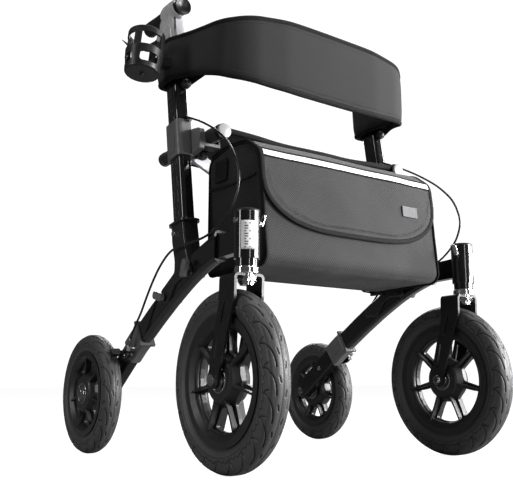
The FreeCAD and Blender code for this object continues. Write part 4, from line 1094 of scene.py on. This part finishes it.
def head_label(side):
    """A steering head's pale scale with plain tick marks, its cap ring and its small clamp."""
    sign = SIDES[side]
    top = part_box(f"head_tube_{side}")[1][2]
    radius = 0.022
    x = sign * FRAME_HALF
    centre = math.radians(-90 + sign * 24)
    spread = math.radians(36)

    def wrap(angle, z, lift):
        turn = centre + angle
        return Vector((x + (radius + lift) * math.cos(turn), STEER_Y + (radius + lift) * math.sin(turn), z))

    def scale_point(u, v):
        return wrap((2 * u - 1) * spread, 0.3635 + 0.0485 * v, 0.0003)

    label = grid(f"head_scale_{side}", scale_point, 24, 12)
    thicken(label, 0.0003)
    dress(label, f"side_{side}", "frame_black", LABEL)
    verts = []
    faces = []
    for number in range(10):
        z = 0.3665 + 0.0044 * number
        long = 0.26 if number % 3 else 0.44
        base = len(verts)
        for a, h in ((-0.34, 0), (long - 0.34, 0), (long - 0.34, 0.0016), (-0.34, 0.0016)):
            verts.append(wrap(a, z + h, 0.0010))
        faces.append((base, base + 1, base + 2, base + 3))
    ticks = mesh_object(f"head_scale_ticks_{side}", verts, faces, smooth=False)
    thicken(ticks, 0.0002)
    dress(ticks, f"side_{side}", "frame_black", INK)
    cap = turned(
        f"head_cap_{side}",
        [(-0.002, 0.0224), (0.0006, 0.0224), (0.0022, 0.0212), (0.0030, 0.0160), (0.0034, 0.0)],
        (x, STEER_Y, top),
        (0, 0, 1),
    )
    dress(cap, f"side_{side}", "trim_black")
    # the small clamp lever on the head's inner side
    out = -sign
    points = []
    outline = [(-0.004, -0.006), (0.004, -0.006), (0.006, 0.004), (0.0045, 0.015)]
    outline += [(0.0, 0.018), (-0.0045, 0.015), (-0.006, 0.004)]
    for depth in (0.0, 0.004):
        for a, b in outline:
            points.append(Vector((x + out * (0.0245 + depth + b * 0.3), STEER_Y - 0.006 + a, 0.412 + b)))
    count = len(outline)
    faces = [tuple(range(count))[::-1], tuple(range(count, 2 * count))]
    faces += [(k, (k + 1) % count, count + (k + 1) % count, count + k) for k in range(count)]
    lever = mesh_object(f"head_clamp_{side}", points, faces, smooth=False)
    soften(lever, 0.0012, 3)
    dress(lever, f"side_{side}", "chrome_hardware")
    screw = turned(
        f"head_clamp_screw_{side}",
        [(0, 0.004), (0.0032, 0.004), (0.0042, 0.003), (0.0042, 0.0)],
        (x + out * 0.0212, STEER_Y - 0.006, 0.411),
        (out, 0, 0),
        24,
    )
    dress(screw, f"side_{side}", "chrome_hardware")


def rail_caps(side):
    """The push-in caps of a seat rail: pale at the front, black at the back."""
    sign = SIDES[side]
    low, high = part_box(f"seat_rail_{side}")
    radius = 0.014
    centre = (sign * RAIL_HALF, low[1], high[2] - radius)
    profile = [(-0.002, radius + 0.0004), (0.001, radius + 0.0006), (0.0030, radius - 0.0006)]
    profile += [(0.0042, radius * 0.6), (0.0046, 0)]
    cap = turned(f"rail_cap_front_{side}", profile, centre, (0, -1, 0))
    dress(cap, f"rail_{side}", "grey_plastic", CAP_GREY)
    rear = (centre[0], high[1], centre[2])
    cap = turned(f"rail_cap_rear_{side}", profile, rear, (0, 1, 0))
    dress(cap, f"rail_{side}", "trim_black")


def post_collar(side):
    """The plastic bush at the top of a post, where the handle's stem comes out of it."""
    points = []
    levels = [(0.3655, 1.0), (0.3655, 1.07), (0.3700, 1.07), (0.3722, 1.0), (0.3722, 0.86)]
    corners = [(-0.014, -0.022, 0.009), (0.014, -0.022, 0.009), (0.014, 0.022, 0.009), (-0.014, 0.022, 0.009)]
    outline, _ = rounded_path(corners, 60, closed=True)
    for level, factor in levels:
        for a, b in outline[:, :2]:
            points.append(on_post(side, a * factor, b * (1 + (factor - 1) * 0.7), level))
    collar = mesh_object(f"post_collar_{side}", points, swept_faces(len(levels), len(outline)))
    collar.data.set_sharp_from_angle(angle=math.radians(35))
    dress(collar, f"side_{side}", "grey_plastic")


# the handle shell's sections up the post: level, width, depth, shift to the back
SHELL_SECTIONS = np.array([
    (0.378, 0.025, 0.038, 0.0),
    (0.392, 0.033, 0.048, 0.0),
    (0.416, 0.038, 0.056, 0.002),
    (0.440, 0.037, 0.058, 0.004),
    (0.460, 0.030, 0.050, 0.004),
]).T


def shell_seam(side):
    """The dark parting lines down the front and back of a handle shell, towards its outer side."""
    for name, face, across in (("front", -1, 0.0080), ("front_twin", -1, 0.0104), ("back", 1, 0.0)):
        line = []
        for t in np.linspace(0, 1, 40):
            level = 0.379 + 0.080 * t
            wide, depth, shift = (np.interp(level, SHELL_SECTIONS[0], row) for row in SHELL_SECTIONS[1:])
            corner = 0.36 * wide
            place = across * (0.72 + 0.28 * math.sin(t * math.pi))
            past = max(0.0, place - (wide / 2 - corner))
            inset = corner - math.sqrt(corner**2 - past**2)
            line.append(on_post(side, SIDES[side] * place, shift + face * (depth / 2 - inset), level))
        seam = tube(f"shell_seam_{name}_{side}", line, 0.0009, sides=8)
        dress(seam, f"handle_{side}", "trim_black", SEAM)


def grip_ends(side):
    """The front and back ends of a grip's middle line."""
    x = SIDES[side] * FRAME_HALF
    return Vector((x, 0.192, 0.910)), Vector((x, 0.338, 0.914))


def grip(side):
    """A ribbed rubber grip with a flared, hollowed front, a fuller palm and a domed end."""
    start, end = grip_ends(side)
    length = (end - start).length
    profile = [(-0.001, 0.0), (-0.0025, 0.009), (-0.0060, 0.0158), (-0.0072, 0.0176), (-0.0062, 0.0186)]
    profile += [(-0.0020, 0.0180), (0.0030, 0.0168), (0.0080, 0.0164)]
    for step in range(1, 121):
        t = step / 121
        along = 0.008 + (length - 0.016) * t
        palm = 0.0158 + 0.0009 * math.cos((t - 0.1) * 2 * math.pi)
        rib = 0.00035 * math.cos(along * 2 * math.pi / 0.0042) if 0.08 < t < 0.92 else 0.0
        profile.append((along, palm + rib))
    profile += [(length - 0.006, 0.0165), (length - 0.002, 0.0150), (length, 0.0110), (length + 0.0008, 0.0)]
    piece = turned(f"grip_rubber_{side}", profile, start, end - start, 56)
    dress(piece, f"handle_{side}", "grip_rubber")
    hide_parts(f"grip_{side}")


def shell_wing(side):
    """The silver panel of the handle shell that runs up round the outer side of the grip's front end."""
    sign = SIDES[side]
    start, end = grip_ends(side)
    along = (end - start).normalized()
    out = Vector((sign, 0, 0))
    up = out.cross(along).normalized() * sign

    def point(u, v):
        turn = math.radians(-100 + 158 * v)
        front = 0.002 + 0.006 * v**3
        back = 0.064 - 0.020 * v**2 - 0.012 * (1 - v) ** 3
        # both ends of the panel are drawn in towards the grip
        draw = 0.0013 * (abs(2 * u - 1) ** 6 + v**8)
        spoke = out * math.cos(turn) + up * math.sin(turn)
        return start + along * (front + (back - front) * u) + spoke * (0.0197 - draw)

    panel = grid(f"shell_wing_{side}", point, 30, 34, size=(0.06, 0.05))
    thicken(panel, 0.0022)
    dress(panel, f"handle_{side}", "silver_plastic")
    if panel.data.polygons[0].normal.dot(out) < 0:
        panel.data.flip_normals()


# the drawn-out lever end's sections: x, y, z, half width, half height
LEVER_END = [
    (0.2740, 0.348, 0.877, 0.0056, 0.0036),
    (0.2760, 0.368, 0.882, 0.0058, 0.0040),
    (0.2800, 0.388, 0.889, 0.0052, 0.0040),
    (0.2890, 0.408, 0.902, 0.0040, 0.0034),
    (0.2985, 0.426, 0.921, 0.0012, 0.0010),
]
LEVER_ROWS = 33
LEVER_SIDES = 16


def lever_tip(side):
    """The brake lever's moulded end, drawn out behind the grip and turned up to a point."""
    sign = SIDES[side]
    places = np.linspace(0, len(LEVER_END) - 1, LEVER_ROWS)
    given = range(len(LEVER_END))
    sections = np.stack([np.interp(places, given, column) for column in zip(*LEVER_END)], axis=1)
    line = [Vector((sign * x, y, z)) for x, y, z, _, _ in sections]
    circle = [(math.cos(turn), math.sin(turn)) for turn in turns(LEVER_SIDES)]

    def section(i):
        wide, high = sections[i, 3:]
        return [(c * wide, n * high) for c, n in circle]

    tip = swept(f"lever_tip_{side}", line, section, lambda i: Vector((0, 0, 1)))
    dress(tip, f"lever_{side}", "lever_black")


def cable_ends(side):
    """The crimped ferrule where a brake cable enters the post, and the one at its brake."""
    sign = SIDES[side]
    for name, start, direction in (
        ("top", (0.266, 0.1713, 0.661), (0.002, -0.0533, -0.023)),
        ("low", (0.302, 0.326, 0.220), (0, -0.009, 0.020)),
    ):
        heading = Vector((sign * direction[0], direction[1], direction[2])).normalized()
        profile = [(-0.0005, 0.0040), (0.004, 0.0040), (0.0045, 0.0034)]
        profile += [(0.012, 0.0034), (0.0125, 0.0030), (0.0145, 0.0026)]
        place = (sign * start[0], start[1], start[2])
        piece = turned(f"cable_ferrule_{name}_{side}", profile, place, heading, 24)
        dress(piece, f"side_{side}", "bearing_steel")


for side_name in SIDES:
    head_label(side_name)
    rail_caps(side_name)
    post_collar(side_name)
    shell_seam(side_name)
    grip(side_name)
    shell_wing(side_name)
    lever_tip(side_name)
    cable_ends(side_name)


# ---- cloth meshes ----

# each cloth piece is given its own copy of its mesh
SEAT_HALF = 0.214
for pieces, half in ((BAG_PIECES, BAG_HALF), (BAND_PIECES, BAND_CUT), (SEAT_PIECES, SEAT_HALF)):
    for piece in pieces:
        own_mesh(piece)


# ---- studio ----


def studio():
    """A plain pale floor, a white surround and soft panels of light."""
    floor = grid("studio_floor", lambda u, v: Vector(((u - 0.5) * 24, (v - 0.5) * 24, -0.0004)), 2, 2)
    s = Shader("studio_floor")
    tone = s.mix(s.noise(2), (0.20, 0.20, 0.20), (0.23, 0.23, 0.23))
    material = s.finish(tone, s.ranged(s.noise(30), 0.55, 0.65), None, specular=0.1)
    seen = s.node("ShaderNodeLightPath")
    s.link(s.math("MULTIPLY", seen.outputs["Is Camera Ray"], 0.95), s.shader.inputs["Emission Strength"])
    s.shader.inputs["Emission Color"].default_value = (1, 1, 1, 1)
    floor.data.materials.append(material)

    world = bpy.data.worlds.new("studio")
    bpy.context.scene.world = world
    world.use_nodes = True
    nodes = world.node_tree.nodes
    links = world.node_tree.links
    background = nodes["Background"]
    path = nodes.new("ShaderNodeLightPath")
    mix = nodes.new("ShaderNodeMix")
    links.new(path.outputs["Is Camera Ray"], mix.inputs["Factor"])
    mix.inputs["A"].default_value = 0.07
    mix.inputs["B"].default_value = 1.1
    links.new(mix.outputs["Result"], background.inputs["Strength"])
    background.inputs["Color"].default_value = (1, 1, 1, 1)

    aim = Vector((0, 0.15, 0.45))
    for name, place, width, height, power in (
        ("key", (2.4, -2.4, 1.3), 0.8, 1.2, 200),
        ("low_right", (1.3, -1.8, 0.40), 0.5, 0.6, 36),
        ("left_strip", (-2.6, 0.3, 1.0), 0.35, 2.2, 22),
        ("right_strip", (2.4, -0.7, 1.0), 0.30, 2.2, 70),
        ("front_strip", (-0.6, -2.8, 0.9), 0.18, 2.0, 12),
        ("back_light", (1.5, 2.4, 2.0), 1.4, 1.0, 40),
        ("top", (0, 0.2, 3.2), 1.8, 1.8, 40),
    ):
        data = bpy.data.lights.new(name, "AREA")
        data.shape = "RECTANGLE"
        data.size = width
        data.size_y = height
        data.energy = power
        light = bpy.data.objects.new(name, data)
        light.location = place
        light.rotation_euler = (aim - Vector(place)).to_track_quat("-Z", "Y").to_euler()
        bpy.context.scene.collection.objects.link(light)


studio()
bpy.context.scene.view_settings.view_transform = "Standard"
bpy.context.view_layer.update()
